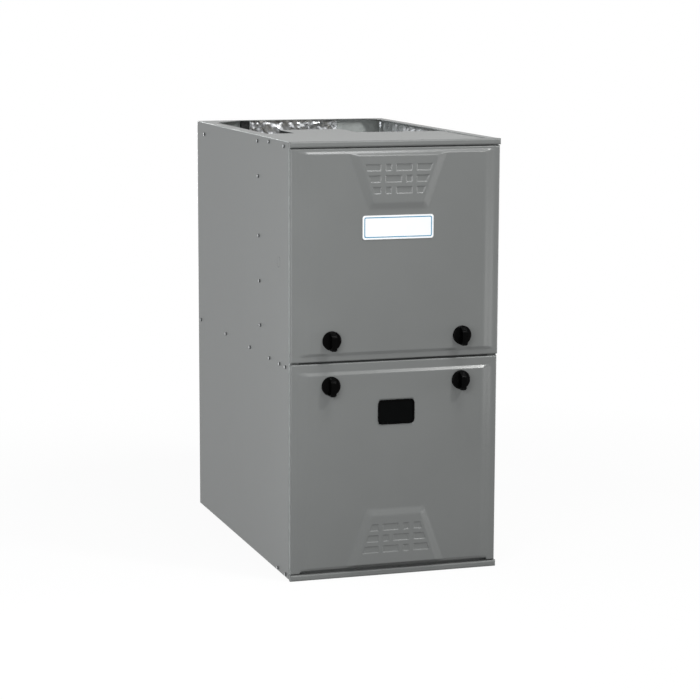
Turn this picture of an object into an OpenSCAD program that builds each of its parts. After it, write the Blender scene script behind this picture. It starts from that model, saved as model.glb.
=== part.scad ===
// Upflow forced air gas furnace: a folded sheet-metal cabinet with two lift-off pan doors,
// a burner compartment and heat exchangers above, and a centrifugal blower below.
// Frame: +Z up, the doors face -Y, origin on the floor under the middle of the casing.

/* [Cabinet] */
// Width of the casing over its side walls
cab_w = 445; // [435:1:540]
// Depth of the casing, back wall to front flanges
cab_d = 738; // [725:1:800]
// Height of the casing over its duct flange
cab_h = 889; // [880:1:960]
// Thickness of the casing, door and shelf sheet
sheet_t = 1; // [0.8:0.1:1.2]
// Outside radius of the folded corners of the casing
bend_r = 4; // [2:0.5:6]
// Width of the two flanges beside the open front
front_flange_w = 20; // [14:1:24]
// Width of the duct flanges along both sides of the top
duct_flange_w = 26; // [20:1:30]
// Width of the duct flange along the back of the top
back_flange_w = 12; // [8:1:18]
// Leg of the gusset in the left rear corner of the duct flange
left_gusset = 70; // [30:1:90]
// Leg of the gusset in the right rear corner of the duct flange
right_gusset = 22; // [10:1:40]
// Width of the flanges round the open bottom
floor_flange_w = 25; // [18:1:40]
// Clearance between two sheets that lap
lap_gap = 0.2; // [0.1:0.05:0.4]
// Length of the top plate, from the front flanges back
top_plate_l = 269; // [240:1:280]

/* [Front rails] */
// How far the top lip and the base rail stand in front of the casing
lip_d = 11; // [8:0.5:14]
// Height of the top lip
lip_h = 12.5; // [10:0.5:16]
// Height of the base rail
rail_h = 13; // [10:0.5:16]
// Radius of the folded nose of both rails
nose_r = 4; // [2:0.5:5]
// Gap between the top lip and the upper door
lip_gap = 3; // [2:0.5:5]
// Gap between the lower door and the base rail
rail_gap = 5.5; // [3:0.5:8]

/* [Doors] */
// Height of the seam between the doors, as a share of the casing's height
seam_share = 0.502; // [0.49:0.001:0.515]
// Gap between the two doors
seam_gap = 3.5; // [3:0.5:8]
// Side reveal of the doors inside the casing width
door_reveal = 3; // [2:0.5:5]
// Depth of the door pan, from its rear edge to its flat border
door_depth = 9; // [8:0.5:12]
// Bend radius round the front of the door pan
door_bend_r = 3; // [2:0.5:4]
// Gap between the door pan and the casing flanges
door_gap = 0.3; // [0.2:0.1:0.8]
// Sideways play taken up by the upper door
upper_door_play = 1.5; // [-2:0.5:2]
// Rise of the pressed field of a door
field_rise = 4.5; // [3:0.5:6]
// Flat border beside the field
side_border = 11; // [8:1:16]
// Width of the slopes beside the field
side_slope = 22; // [14:1:28]
// Flat border at the far edge, away from the knobs
far_border = 4.5; // [4:0.5:10]
// Width of the slope at the far edge
far_slope = 5.5; // [4:0.5:10]
// Flat border under the field of the upper door
upper_seam_border = 11.5; // [6:0.5:14]
// Flat border over the field of the lower door
lower_seam_border = 17.5; // [12:0.5:22]
// Width of the slope at the seam
seam_slope = 6; // [4:0.5:10]

/* [Door pressing] */
// Rise of the trapezoid plateau over the field
plateau_rise = 5; // [3:0.5:6]
// Half width of the plateau's foot at its wide end
plateau_wide = 103; // [95:1:112]
// Half width of the plateau's foot at its narrow end
plateau_narrow = 63; // [58:1:70]
// Distance from the far edge to the narrow foot of the plateau
plateau_l = 121; // [115:1:130]
// Width of the slopes beside the plateau at its wide end
plateau_side_slope = 19; // [14:1:22]
// Width of the slope at the narrow end
plateau_end_slope = 12; // [8:1:14]
// Depth of the pressed bricks
brick_depth = 2; // [1:0.5:3]
// Height of a brick
brick_h = 12.8; // [10:0.2:15]
// Pitch of the three rows of bricks
brick_pitch = 22.8; // [20:0.2:25]
// Length of a short brick
brick_short = 12; // [10:0.5:15]
// Length of a long brick
brick_long = 33; // [28:0.5:36]
// Gap between two bricks in a row
brick_gap = 10.5; // [8:0.5:13]
// Distance from the far edge to the middle of the first row
brick_first = 38; // [34:0.5:42]

/* [Knobs and latches] */
// Distance of the knobs from the side edges of their door
knob_inset = 80.5; // [70:0.5:90]
// Height of the upper knobs over the middle of the seam
upper_knob_rise = 45; // [42:1:50]
// Depth of the lower knobs under the middle of the seam
lower_knob_drop = 47; // [44:1:52]
// Diameter of a knob's skirt
knob_d = 39; // [34:1:42]
// Thickness of a knob's skirt
knob_skirt_t = 5; // [4:0.5:8]
// How far the finger grip stands out of the door
grip_h = 21; // [14:1:26]
// Width of the finger grip
grip_w = 11; // [8:1:14]
// Length of the finger grip below the middle, past the skirt
grip_reach = 21; // [19:0.5:23]
// Radius of a knob's stem
stem_r = 6; // [5:0.5:7]
// Running clearance of a stem in its door, on the radius
stem_gap = 0.05; // [0.02:0.01:0.1]
// Reach of the latch tongue from the stem's axis
tongue_reach = 33; // [30:1:36]
// Width of the latch tongue
tongue_w = 14; // [12:1:16]
// Thickness of the latch tongue
tongue_t = 3; // [2:0.5:4]

/* [Door furniture] */
// Width of the sight glass over its rim
sight_w = 78; // [60:1:90]
// Height of the sight glass over its rim
sight_h = 50; // [40:1:60]
// Depth of the middle of the sight glass under the seam
sight_drop = 106; // [98:1:123]
// Corner radius of the sight glass
sight_r = 9; // [6:1:12]
// Width of the sight glass rim
sight_rim = 4; // [3:0.5:6]
// Width of the bare name plate
badge_w = 150; // [120:1:170]
// Height of the bare name plate
badge_h = 48; // [36:1:52]
// Thickness of the name plate
badge_t = 1.2; // [0.8:0.2:2]
// Distance of the middle of the name plate below the plateau of the upper door
badge_drop = 36.5; // [32:0.5:60]
// Thickness of the door insulation
door_liner_t = 8; // [5:0.5:10]

/* [Inner structure] */
// Depth of the burner compartment, front flanges to cell panel
vestibule_d = 219; // [210:1:235]
// Height of the folded edges of the shelf and the cell panel
fold_w = 16; // [12:1:20]
// Thickness of the foil-faced insulation on the duct walls
liner_t = 12.7; // [10:0.1:16]
// Height of the foil-faced insulation below the duct flange
liner_h = 280; // [200:5:300]
// Width of the foil-faced insulation on the back wall
back_liner_w = 208; // [180:2:240]
// Height of the tie bar's face above the seam
tie_above = 24; // [22:1:26]
// Height of the tie bar's face below the seam
tie_below = 25; // [23:1:27]
// Thickness of the tie bar
tie_t = 1.5; // [1.2:0.1:2]

/* [Heat exchangers] */
// Number of burners, each firing into its own tube
burner_count = 4; // [3:1:4]
// Pitch of the burners and tubes
burner_pitch = 70; // [66:1:72]
// Height of the burner axes, as a share of the casing's height
burner_share = 0.855; // [0.85:0.001:0.862]
// Outside radius of the primary tubes
tube_r = 19; // [16:0.5:20]
// Wall of the primary tubes
tube_wall = 1.2; // [1:0.1:2]
// Space between the lowest pass of the tubes and the secondary coil
bank_gap = 9; // [8:0.5:14]
// Distance of the headers from the side faces of the casing
header_side = 72.5; // [70:0.5:80]
// Rows of secondary tubes
coil_rows = 2; // [2:1:3]
// Secondary tubes in a row
coil_tubes = 7; // [5:1:8]
// Fins on the secondary tubes
fin_count = 24; // [12:1:30]
// Height of the secondary fins
fin_h = 104; // [90:1:106]

/* [Gas train] */
// Radius of the gas manifold
manifold_r = 10.5; // [9:0.5:12]
// Width of the gas valve
valve_w = 62; // [50:1:66]
// Height of the gas valve
valve_h = 88; // [70:1:95]
// Depth of the gas valve
valve_d = 66; // [50:1:70]
// Radius of the gas valve's threaded inlet
gas_inlet_r = 9.3; // [8:0.1:11]
// Depth of the gas valve's threaded inlet
gas_inlet_l = 18; // [12:1:20]
// Radius of the hole in the gas grommet
grommet_r = 13.5; // [12:0.5:15]

/* [Venting] */
// Inner radius of the pipe sockets for vent and combustion air
socket_r = 30.3; // [28:0.1:32]
// Depth of the pipe sockets
socket_l = 26; // [20:1:34]
// Wall of the pipe sockets
socket_wall = 4; // [3:0.5:5]
// Outside radius of the vent pipe
vent_r = 30.15; // [28:0.05:31.9]
// Diameter of the inducer wheel
inducer_d = 112; // [90:1:116]
// Width of the inducer wheel
inducer_w = 24; // [18:1:28]
// Depth of the inducer housing
inducer_depth = 52; // [44:1:56]
// Radius of the inducer motor
inducer_motor_r = 41; // [34:1:44]
// Length of the inducer motor
inducer_motor_l = 62; // [50:1:66]

/* [Blower] */
// Diameter of the blower wheel
wheel_d = 254; // [230:1:260]
// Width of the blower wheel
wheel_w = 200; // [160:1:206]
// Number of blades
blade_count = 36; // [24:1:42]
// Width of the blower housing
housing_w = 230; // [220:1:250]
// Radius of the scroll at its cut-off
scroll_start = 145; // [140:1:150]
// Radius of the scroll at its outlet
scroll_end = 205; // [195:1:210]
// Height of the wheel's axis over the floor
wheel_z = 235; // [228:1:240]
// Gap between the scroll and the back wall
blower_back_gap = 73; // [60:1:80]
// Radius of the blower motor
motor_r = 70; // [60:1:75]
// Length of the blower motor
motor_l = 128; // [100:1:132]
// Radius of the blower shaft
shaft_r = 6.35; // [5:0.05:8]
// Running clearance of a shaft in its bearing, on the radius
shaft_gap = 0.05; // [0.02:0.01:0.1]

/* [Controls] */
// Width of the control bracket
bracket_w = 224; // [200:1:240]
// Height of the control bracket
bracket_h = 182; // [160:1:190]
// Width of the circuit board
board_w = 150; // [120:1:155]
// Height of the circuit board
board_h = 124; // [100:1:130]
// Radius of the cable entry
cable_r = 11.1; // [10:0.1:14]
// Outside radius of the condensate outlet
drain_r = 10.65; // [9:0.05:13]

/* [Hidden] */
$fn = 48;

// Colours, as on the photographed furnace
paint = [0.52, 0.53, 0.53];
bare_steel = [0.70, 0.71, 0.72];
foil = [0.80, 0.81, 0.82];
black = [0.06, 0.06, 0.07];
dark = [0.16, 0.16, 0.17];

// Planes of the casing
half_w = cab_w / 2;
half_d = cab_d / 2;
in_x = half_w - sheet_t;
front_y = -half_d;
back_in = half_d - sheet_t;
front_open = half_w - front_flange_w;
lap_x = in_x - lap_gap;
corner_x = half_w - bend_r;
corner_y = half_d - bend_r;
corner_z = cab_h - bend_r;
eps = 0.01;

// Stack of the front, from the floor up
seam_z = round(seam_share * cab_h);
lower_door_z0 = rail_h + rail_gap;
lower_door_z1 = seam_z - seam_gap / 2;
upper_door_z0 = seam_z + seam_gap / 2;
upper_door_z1 = cab_h - lip_h - lip_gap;
lower_door_h = lower_door_z1 - lower_door_z0;
upper_door_h = upper_door_z1 - upper_door_z0;
door_w = cab_w - 2 * door_reveal;
knob_x = door_w / 2 - knob_inset;
door_rear_y = front_y - door_gap;
field_o = door_depth + field_rise;
field_y = door_rear_y - field_o;
upper_knob_z = seam_z + upper_knob_rise;
lower_knob_z = seam_z - lower_knob_drop;
knob_seat_gap = 0.3;

// Top plate and bottom closure
plate_z = cab_h - 2 * sheet_t - lap_gap;
plate_rear_y = front_y + top_plate_l;
rim_z = sheet_t + lap_gap;
header_h = 24;
tab_w = 34;
tab_x = 90;
tab_l = 12;
tab_clear = 1;

// Shelf, cell panel and tie bar
shelf_z = seam_z - 1;
shelf_under = shelf_z - sheet_t;
tie_y = front_y + sheet_t + lap_gap;
cell_y = front_y + vestibule_d;
cell_z0 = shelf_z + lap_gap;
cell_z1 = plate_z - lap_gap;

// Heat exchangers
burner_z = round(burner_share * cab_h);
burner_xs = [for (i = [0 : burner_count - 1]) (i - (burner_count - 1) / 2) * burner_pitch];
tube_gap = 0.3;
coil_z0 = shelf_z + 37;
coil_z1 = coil_z0 + fin_h + 6;
coil_mid = (coil_z0 + coil_z1) / 2;
pass_pitch = (burner_z - tube_r - bank_gap - coil_z1) / 2;
front_bend_y = cell_y + pass_pitch / 2 + tube_r + 6;
header_d = 50;
hot_y1 = back_in - liner_t - 3;
hot_y0 = hot_y1 - header_d;
rear_bend_y = hot_y0 - pass_pitch / 2 - tube_r + 2;
last_pass_z = burner_z - 2 * pass_pitch;
header_w = cab_w - 2 * header_side;
coil_tube_r = 8;
coil_row_pitch = 50 * 2 / coil_rows;
coil_pitch = (header_w - 30) / (coil_tubes - 1);
collector_d = 42;
collector_y = cell_y - lap_gap;

// Burner box and gas train
box_w = (burner_count - 1) * burner_pitch + 90;
box_y0 = cell_y - 140;
box_z0 = burner_z - 48;
box_z1 = burner_z + 52;
train_y = box_y0 - 26;
valve_x = 150;
valve_z1 = burner_z - 74;
valve_z0 = valve_z1 - valve_h;
inlet_z = valve_z0 + 26;

// Inducer and vent
inducer_x = -25;
inducer_z = coil_mid + 18;
inducer_y1 = collector_y - collector_d - lap_gap;
inducer_y0 = inducer_y1 - inducer_depth;
inducer_wall = 2.5;
inducer_start = inducer_d / 2 + 8;
inducer_end = inducer_d / 2 + 32;
vent_y = (inducer_y0 + inducer_y1) / 2;
vent_z = inducer_z + inducer_end - 25;
inducer_mouth_x = inducer_x + 88;
inducer_mouth_r = 24;
coupling_l = 44;
collar_in = in_x - 24;
collar_out = half_w + 14;
collar_flange_r = 48;
intake_z = burner_z - 4;
vent_seat_x = collar_out - socket_l;
nipple_r = 3;
pswitch_x = -(lap_x - 50);
pswitch_z = coil_z1 + 60;

// Blower
wheel_y = back_in - blower_back_gap - scroll_end;
cutoff_a = 109;
inlet_r = wheel_d / 2 - 22;
bell_r = 10;
side_x = housing_w / 2;
motor_x0 = 22;
inducer_shaft_r = 4;
blower_top = shelf_under - lap_gap;

// Controls
bracket_y = front_y + 69;
bracket_z0 = shelf_under - lap_gap - bracket_h;
cable_y = bracket_y;
cable_z = shelf_z - 60;
jbox_w = 46;
jbox_d = 84;
jbox_h = 80;
trap_y = cell_y - 62;
trap_z1 = shelf_z - 44;
trap_w = 40;
trap_x = in_x - lap_gap - trap_w / 2;
drain_z = trap_z1 - 96;
switch_x = 60;
switch_z = shelf_z - 29;
liner_rear_y = door_rear_y - field_o + sheet_t + lap_gap + door_liner_t;
plunger_tip_y = liner_rear_y + 0.3;

// ---------- shared shapes ----------

// Block between two limits on each axis
module block(x, y, z) {
    translate([x[0], y[0], z[0]]) cube([x[1] - x[0], y[1] - y[0], z[1] - z[0]]);
}

// Rod from the origin along +X, +Y or towards the front
module rod_x(r, l) { rotate([0, 90, 0]) cylinder(r = r, h = l); }
module rod_y(r, l) { rotate([-90, 0, 0]) cylinder(r = r, h = l); }
module rod_front(r, l) { rotate([90, 0, 0]) cylinder(r = r, h = l); }

module pipe_x(r, wall, l) {
    difference() {
        rod_x(r, l);
        translate([-1, 0, 0]) rod_x(r - wall, l + 2);
    }
}

// Profile swept along X (drawn in Y, Z), along Z of a door (drawn in X, outward) or to the front
module sweep_x(l) { translate([-l / 2, 0, 0]) rotate([90, 0, 90]) linear_extrude(l) children(); }
module sweep_up(l) { translate([0, l, 0]) rotate([90, 0, 0]) linear_extrude(l) children(); }
module sweep_front(l) { rotate([90, 0, 0]) linear_extrude(l) children(); }

module rounded_rect(w, h, r) {
    square([w - 2 * r, h], center = true);
    square([w, h - 2 * r], center = true);
    for (sx = [-1, 1], sy = [-1, 1]) {
        translate([sx * (w / 2 - r), sy * (h / 2 - r)]) circle(r);
    }
}

// Rectangle on the baseline with its two upper corners rounded
module pan_section(w, d, r) {
    translate([-w / 2, 0]) square([w, d - r]);
    translate([-w / 2 + r, 0]) square([w - 2 * r, d]);
    for (s = [-1, 1]) translate([s * (w / 2 - r), d - r]) circle(r);
}

// Box folded from sheet: rounded in plan and across the top and bottom
module folded_box(w, d, h, r) {
    intersection() {
        linear_extrude(h) rounded_rect(w, d, r);
        translate([0, d / 2, h / 2]) sweep_front(d) rounded_rect(w, h, r);
    }
}

// Run of hose or wire through a list of points
module hose(points, r) {
    for (i = [0 : len(points) - 2]) {
        v = points[i + 1] - points[i];
        translate(points[i])
            rotate([0, acos(v[2] / norm(v)), atan2(v[1], v[0])])
                cylinder(r = r, h = norm(v), $fn = 24);
        if (i > 0) translate(points[i]) sphere(r + 0.5, $fn = 24);
    }
}

// Spiral outline of a fan housing, drawn round the wheel's axis
function spiral(r0, r1, a0, a1, steps) = [for (i = [0 : steps])
    let (a = a0 + (a1 - a0) * i / steps, r = r0 + (r1 - r0) * i / steps) [r * cos(a), r * sin(a)]];

// ---------- casing ----------

module right_wall_hole(y, z, r) {
    translate([in_x - 2, y, z]) rod_x(r, sheet_t + 4);
}

// Side and back wrap with front, duct and floor flanges
module casing_wrap() {
    duct_open_x = half_w - duct_flange_w;
    duct_open_y = half_d - back_flange_w;
    floor_open_x = half_w - floor_flange_w;
    knockout_y = front_y + 73;
    knockout_z = seam_z + 197;
    color(paint) difference() {
        folded_box(cab_w, cab_d, cab_h, bend_r);
        translate([0, 0, sheet_t])
            folded_box(cab_w - 2 * sheet_t, cab_d - 2 * sheet_t, cab_h - 2 * sheet_t, bend_r - sheet_t);
        block([-front_open, front_open], [front_y - 1, front_y + sheet_t + 2], [-1, cab_h + 1]);
        translate([0, 0, cab_h - sheet_t - 1]) linear_extrude(sheet_t + 2) polygon([
            [-duct_open_x, front_y - 1], [duct_open_x, front_y - 1],
            [duct_open_x, duct_open_y - right_gusset], [duct_open_x - right_gusset, duct_open_y],
            [-duct_open_x + left_gusset, duct_open_y], [-duct_open_x, duct_open_y - left_gusset]]);
        block([-floor_open_x, floor_open_x], [front_y - 1, half_d - floor_flange_w], [-1, sheet_t + 1]);
        right_wall_hole(train_y, inlet_z, grommet_r + 3);
        right_wall_hole(vent_y, vent_z, socket_r + socket_wall + lap_gap);
        right_wall_hole(vent_y, intake_z, socket_r + socket_wall + lap_gap);
        right_wall_hole(cable_y, cable_z, cable_r);
        right_wall_hole(trap_y, drain_z, drain_r + 2);
        // scored edge of a cable knockout in the left wall
        translate([-half_w - 1, knockout_y, knockout_z]) difference() {
            rod_x(cable_r + 0.3, 1.35);
            translate([-1, 0, 0]) rod_x(cable_r - 0.3, 4);
        }
    }
}

// Hollow nose of a front rail, its open side towards the casing
module rail_nose(h) {
    inner_r = nose_r - sheet_t;
    difference() {
        nose_form(cab_w, h, lip_d - door_gap, nose_r);
        translate([0, 0.5, sheet_t])
            nose_form(cab_w - 2 * sheet_t, h - 2 * sheet_t, lip_d - door_gap - sheet_t + 0.5, inner_r);
    }
}

module nose_form(w, h, d, r) {
    intersection() {
        mirror([0, 1, 0]) linear_extrude(h) pan_section(w, d, r);
        translate([0, 0, h / 2]) sweep_x(w) rotate(90) pan_section(h, d, r);
    }
}

// Joggled leaf that carries a rail from inside the casing; z0 is the leaf's underside
module rail_leaf(z_nose, z_leaf, rear_y) {
    z_low = min(z_nose, z_leaf);
    block([-front_open + 1, front_open - 1], [front_y - 1, front_y + 2.5], [z_nose, z_nose + sheet_t]);
    block([-front_open + 1, front_open - 1], [front_y + 1.5, front_y + 2.5],
        [z_low, z_low + 2 * sheet_t + lap_gap]);
    block([-corner_x, corner_x], [front_y + 1.5, rear_y], [z_leaf, z_leaf + sheet_t]);
}

// Strip behind the door edge, with slots for the door's tabs
module tab_header(z0, z1, tab_z) {
    difference() {
        block([-front_open + 1, front_open - 1], [front_y + 1.5, front_y + 2.5], [z0, z1]);
        for (s = [-1, 1]) {
            block([s * tab_x - tab_w / 2 - tab_clear - abs(upper_door_play),
                   s * tab_x + tab_w / 2 + tab_clear + abs(upper_door_play)],
                [front_y, front_y + 4], [tab_z - tab_clear, tab_z + sheet_t + tab_clear]);
        }
    }
}

// Front top plate with its rounded lip
module top_plate() {
    color(paint) union() {
        translate([0, front_y - door_gap, cab_h - lip_h]) rail_nose(lip_h);
        rail_leaf(cab_h - sheet_t, plate_z, plate_rear_y);
        tab_header(plate_z - header_h, plate_z + eps, upper_door_z1 - sheet_t);
    }
}

// Rounded rail across the foot of the front
module base_rail() {
    rail_back = front_y + 36;
    color(paint) union() {
        translate([0, front_y - door_gap, 0]) rail_nose(rail_h);
        rail_leaf(0, rim_z, rail_back);
        tab_header(rim_z, rim_z + header_h + 4, lower_door_z0);
    }
}

// Drop-in panel that closes the bottom
module bottom_closure() {
    edge_gap = 1;
    rest_w = 14;
    inner_x = half_w - floor_flange_w - edge_gap;
    y0 = front_y + 37 + rest_w;
    y1 = half_d - floor_flange_w - edge_gap;
    color(bare_steel) union() {
        block([-inner_x, inner_x], [y0, y1], [0, sheet_t]);
        difference() {
            block([-inner_x - rest_w, inner_x + rest_w], [y0 - rest_w, y1 + rest_w],
                [rim_z, rim_z + sheet_t]);
            block([-inner_x + sheet_t, inner_x - sheet_t], [y0 + sheet_t, y1 - sheet_t],
                [rim_z - 1, rim_z + 2]);
        }
        difference() {
            block([-inner_x, inner_x], [y0, y1], [0, rim_z + sheet_t]);
            block([-inner_x + sheet_t, inner_x - sheet_t], [y0 + sheet_t, y1 - sheet_t],
                [sheet_t, rim_z + 2]);
        }
    }
}

// Deck between the blower and the burner compartment
module blower_shelf() {
    y0 = tie_y + tie_t + 1;
    y1 = back_in - lap_gap;
    hose_r = 13;
    color(bare_steel) difference() {
        union() {
            block([-lap_x, lap_x], [y0, corner_y], [shelf_under, shelf_z]);
            block([-corner_x, corner_x], [y0, y1], [shelf_under, shelf_z]);
            for (s = [0, 1]) mirror([s, 0, 0])
                block([lap_x - sheet_t, lap_x], [y0 + 8, corner_y], [shelf_z - fold_w, shelf_z]);
            block([-corner_x, corner_x], [y1 - sheet_t, y1], [shelf_z - fold_w, shelf_z]);
        }
        block([-side_x + 1.5, side_x - 1.5],
            [wheel_y + scroll_start * cos(cutoff_a) + 1, wheel_y + scroll_end - 1],
            [shelf_under - 1, shelf_z + 1]);
        translate([trap_x, trap_y, shelf_under - 1]) cylinder(r = hose_r, h = 4);
        translate([-trap_x, trap_y, shelf_under - 1]) cylinder(r = hose_r, h = 4);
    }
}

// Upright panel between the burners and the heat exchangers
module cell_panel() {
    color(bare_steel) difference() {
        union() {
            block([-lap_x, lap_x], [cell_y, cell_y + sheet_t], [cell_z0, corner_z]);
            block([-corner_x, corner_x], [cell_y, cell_y + sheet_t], [cell_z0, cell_z1]);
            for (s = [0, 1]) mirror([s, 0, 0])
                block([lap_x - sheet_t, lap_x], [cell_y - fold_w, cell_y + sheet_t],
                    [cell_z0, corner_z]);
            for (z = [cell_z0, cell_z1 - sheet_t])
                block([-corner_x, corner_x], [cell_y - fold_w, cell_y + sheet_t], [z, z + sheet_t]);
        }
        for (x = burner_xs) translate([x, cell_y - 1, burner_z]) rod_y(tube_r + tube_gap, 4);
        for (x = coil_xs(), z = coil_zs())
            translate([x, cell_y - 1, z]) rod_y(coil_tube_r + tube_gap, 4);
    }
}

// Cross bar behind the seam that the latch tongues close on
module tie_bar() {
    web_l = 26;
    color(paint) union() {
        block([-corner_x, corner_x], [tie_y, tie_y + tie_t],
            [seam_z - tie_below, seam_z + tie_above]);
        block([-corner_x, corner_x], [tie_y, tie_y + web_l],
            [shelf_under - lap_gap - tie_t, shelf_under - lap_gap]);
    }
}

// Deflector that runs back from the top plate over the tubes
module air_baffle() {
    baffle_x0 = -125;
    baffle_x1 = 12;
    lap_l = 24;
    run_l = 135;
    turn_h = 14;
    slot_w = 24;
    z0 = plate_z - lap_gap - sheet_t;
    y0 = plate_rear_y - lap_l;
    y1 = plate_rear_y + run_l;
    color(paint) difference() {
        union() {
            block([baffle_x0, baffle_x1], [y0, y1], [z0, z0 + sheet_t]);
            block([baffle_x0, baffle_x1], [y1 - sheet_t, y1], [z0 - turn_h, z0 + sheet_t]);
        }
        for (x = [baffle_x0 + 12, baffle_x1 - 12 - slot_w])
            block([x, x + slot_w], [plate_rear_y + 5, plate_rear_y + 9], [z0 - 1, z0 + 3]);
    }
}

// Foil-faced insulation on the duct walls
module back_liner() {
    color(foil) block([-0.49 * back_liner_w, 0.51 * back_liner_w],
        [back_in - lap_gap - liner_t, back_in - lap_gap],
        [cab_h - sheet_t - liner_h, cab_h - sheet_t - lap_gap]);
}

module side_liners() {
    color(foil) for (s = [0, 1]) mirror([s, 0, 0])
        block([lap_x - liner_t, lap_x], [cell_y + sheet_t + lap_gap, back_in - liner_t - 1],
            [cab_h - sheet_t - liner_h, corner_z]);
}

// ---------- heat exchangers ----------

function coil_xs() = [for (i = [0 : coil_tubes - 1]) (i - (coil_tubes - 1) / 2) * coil_pitch];
function coil_zs() = [for (j = [0 : coil_rows - 1])
    coil_mid + (j - (coil_rows - 1) / 2) * coil_row_pitch];

// One serpentine tube, three passes joined by two return bends
module serpentine(r) {
    translate([0, cell_y - 2, burner_z]) rod_y(r, rear_bend_y - cell_y + 2);
    translate([0, front_bend_y, burner_z - pass_pitch]) rod_y(r, rear_bend_y - front_bend_y);
    translate([0, front_bend_y, last_pass_z]) rod_y(r, hot_y0 - lap_gap - front_bend_y);
    translate([0, rear_bend_y, burner_z - pass_pitch / 2]) return_bend(r, 1);
    translate([0, front_bend_y, burner_z - 1.5 * pass_pitch]) return_bend(r, -1);
}

// Half turn of tube in the Y-Z plane; side 1 bulges to the back, -1 to the front
module return_bend(r, side) {
    rotate([0, 90, 0]) rotate([0, 0, side > 0 ? 0 : 180])
        rotate_extrude(angle = 180) translate([pass_pitch / 2, 0]) circle(r);
}

module primary_exchanger() {
    color([0.62, 0.60, 0.57]) for (x = burner_xs) translate([x, 0, 0]) difference() {
        serpentine(tube_r);
        serpentine(tube_r - tube_wall);
        translate([0, cell_y - 3, burner_z]) rod_y(tube_r - tube_wall, 4);
        translate([0, hot_y0 - 4, last_pass_z]) rod_y(tube_r - tube_wall, 6);
    }
}

// Box at the back that turns the flue gas down into the secondary tubes
module hot_header() {
    color([0.62, 0.60, 0.57]) difference() {
        block([-header_w / 2, header_w / 2], [hot_y0, hot_y1], [coil_z0, last_pass_z + tube_r + 14]);
        block([-header_w / 2 + 1.5, header_w / 2 - 1.5], [hot_y0 + 1.5, hot_y1 - 1.5],
            [coil_z0 + 1.5, last_pass_z + tube_r + 12.5]);
        for (x = burner_xs)
            translate([x, hot_y0 - 1, last_pass_z]) rod_y(tube_r - tube_wall, 4);
    }
}

// Finned tubes that carry the flue gas forward to the collector
module secondary_coil() {
    y0 = cell_y + 14;
    y1 = hot_y0 - 12;
    fin_x = header_w / 2 + 2;
    color(bare_steel) union() {
        for (x = coil_xs(), z = coil_zs())
            translate([x, cell_y - lap_gap, z]) rod_y(coil_tube_r, hot_y0 - cell_y);
        for (i = [0 : fin_count - 1])
            let (y = y0 + (y1 - y0) * i / (fin_count - 1))
            block([-fin_x, fin_x], [y, y + 0.8], [coil_mid - fin_h / 2, coil_mid + fin_h / 2]);
    }
}

// Moulded collector on the front of the cell panel, with its drain port
module collector_box() {
    port_r = 7;
    color(dark) difference() {
        union() {
            translate([0, collector_y, coil_mid]) sweep_front(collector_d)
                rounded_rect(header_w, coil_z1 - coil_z0, 14);
            translate([0, collector_y, coil_mid]) sweep_front(6)
                rounded_rect(header_w + 24, coil_z1 - coil_z0 + 16, 18);
            translate([header_w / 2 - 26, collector_y - 20, coil_z0 - 14]) cylinder(r = port_r, h = 18);
        }
        translate([0, collector_y + 1, coil_mid]) sweep_front(collector_d - 2)
            rounded_rect(header_w - 6, coil_z1 - coil_z0 - 6, 11);
        translate([inducer_x, collector_y - collector_d - 1, inducer_z]) rod_y(26, 6);
        translate([header_w / 2 - 26, collector_y - 20, coil_z0 - 15]) cylinder(r = port_r - 2.5, h = 24);
    }
}

// ---------- burners and gas train ----------

// Sheet box round the burners, open to the front
module burner_box() {
    t = 1.2;
    y1 = cell_y - lap_gap;
    color(bare_steel) difference() {
        block([-box_w / 2, box_w / 2], [box_y0, y1], [box_z0, box_z1]);
        block([-box_w / 2 + t, box_w / 2 - t], [box_y0 - 1, y1 - t], [box_z0 + t, box_z1 - t]);
        for (x = burner_xs) translate([x, y1 - 4, burner_z]) rod_y(tube_r + tube_gap, 6);
    }
}

// In-shot burners joined by their crossover bar
module burners() {
    mouth_y = box_y0 + 6;
    head_y = cell_y - 22;
    l = head_y - mouth_y;
    color([0.55, 0.54, 0.52]) union() {
        for (x = burner_xs) translate([x, mouth_y, burner_z]) rotate([-90, 0, 0]) rotate_extrude()
            polygon([[14.5, 0], [16, 0], [10, 22], [10, 56], [15, 78], [17, 82], [17, l],
                [15.5, l], [15.5, 83], [13.5, 79], [8.5, 57], [8.5, 21.5]]);
        for (s = [-1, 1]) block([s * (box_w / 2 - 22) - 4, s * (box_w / 2 - 22) + 4],
            [head_y - 24, head_y - 6], [box_z0 + 1.2 + lap_gap, burner_z + 19]);
        block([-(box_w / 2 - 18), box_w / 2 - 18], [head_y - 24, head_y - 6],
            [burner_z + 16.2, burner_z + 19]);
    }
}

// Manifold pipe with its orifice fittings and the drop to the gas valve
module gas_manifold() {
    x0 = burner_xs[0] - 24;
    spud_l = box_y0 + 4 - train_y;
    color(bare_steel) union() {
        translate([x0, train_y, burner_z]) rod_x(manifold_r, valve_x - x0);
        translate([x0 - 8, train_y, burner_z]) rod_x(manifold_r + 3, 14, $fn = 6);
        for (x = burner_xs) translate([x, train_y, burner_z]) {
            rod_y(5, spud_l);
            rod_y(8, spud_l - 8, $fn = 6);
        }
        translate([valve_x, train_y, burner_z]) sphere(manifold_r + 3);
        translate([valve_x - 22, train_y, burner_z]) rod_x(manifold_r + 3, 12);
        translate([valve_x, train_y, valve_z1 + 10 + lap_gap])
            cylinder(r = manifold_r, h = burner_z - valve_z1 - 10 - lap_gap);
        for (s = [-1, 1]) block([s * (box_w / 2 - 9) - 7, s * (box_w / 2 - 9) + 7],
            [train_y + manifold_r - 3, box_y0 - lap_gap], [burner_z - 2, burner_z + 2]);
    }
}

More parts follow.
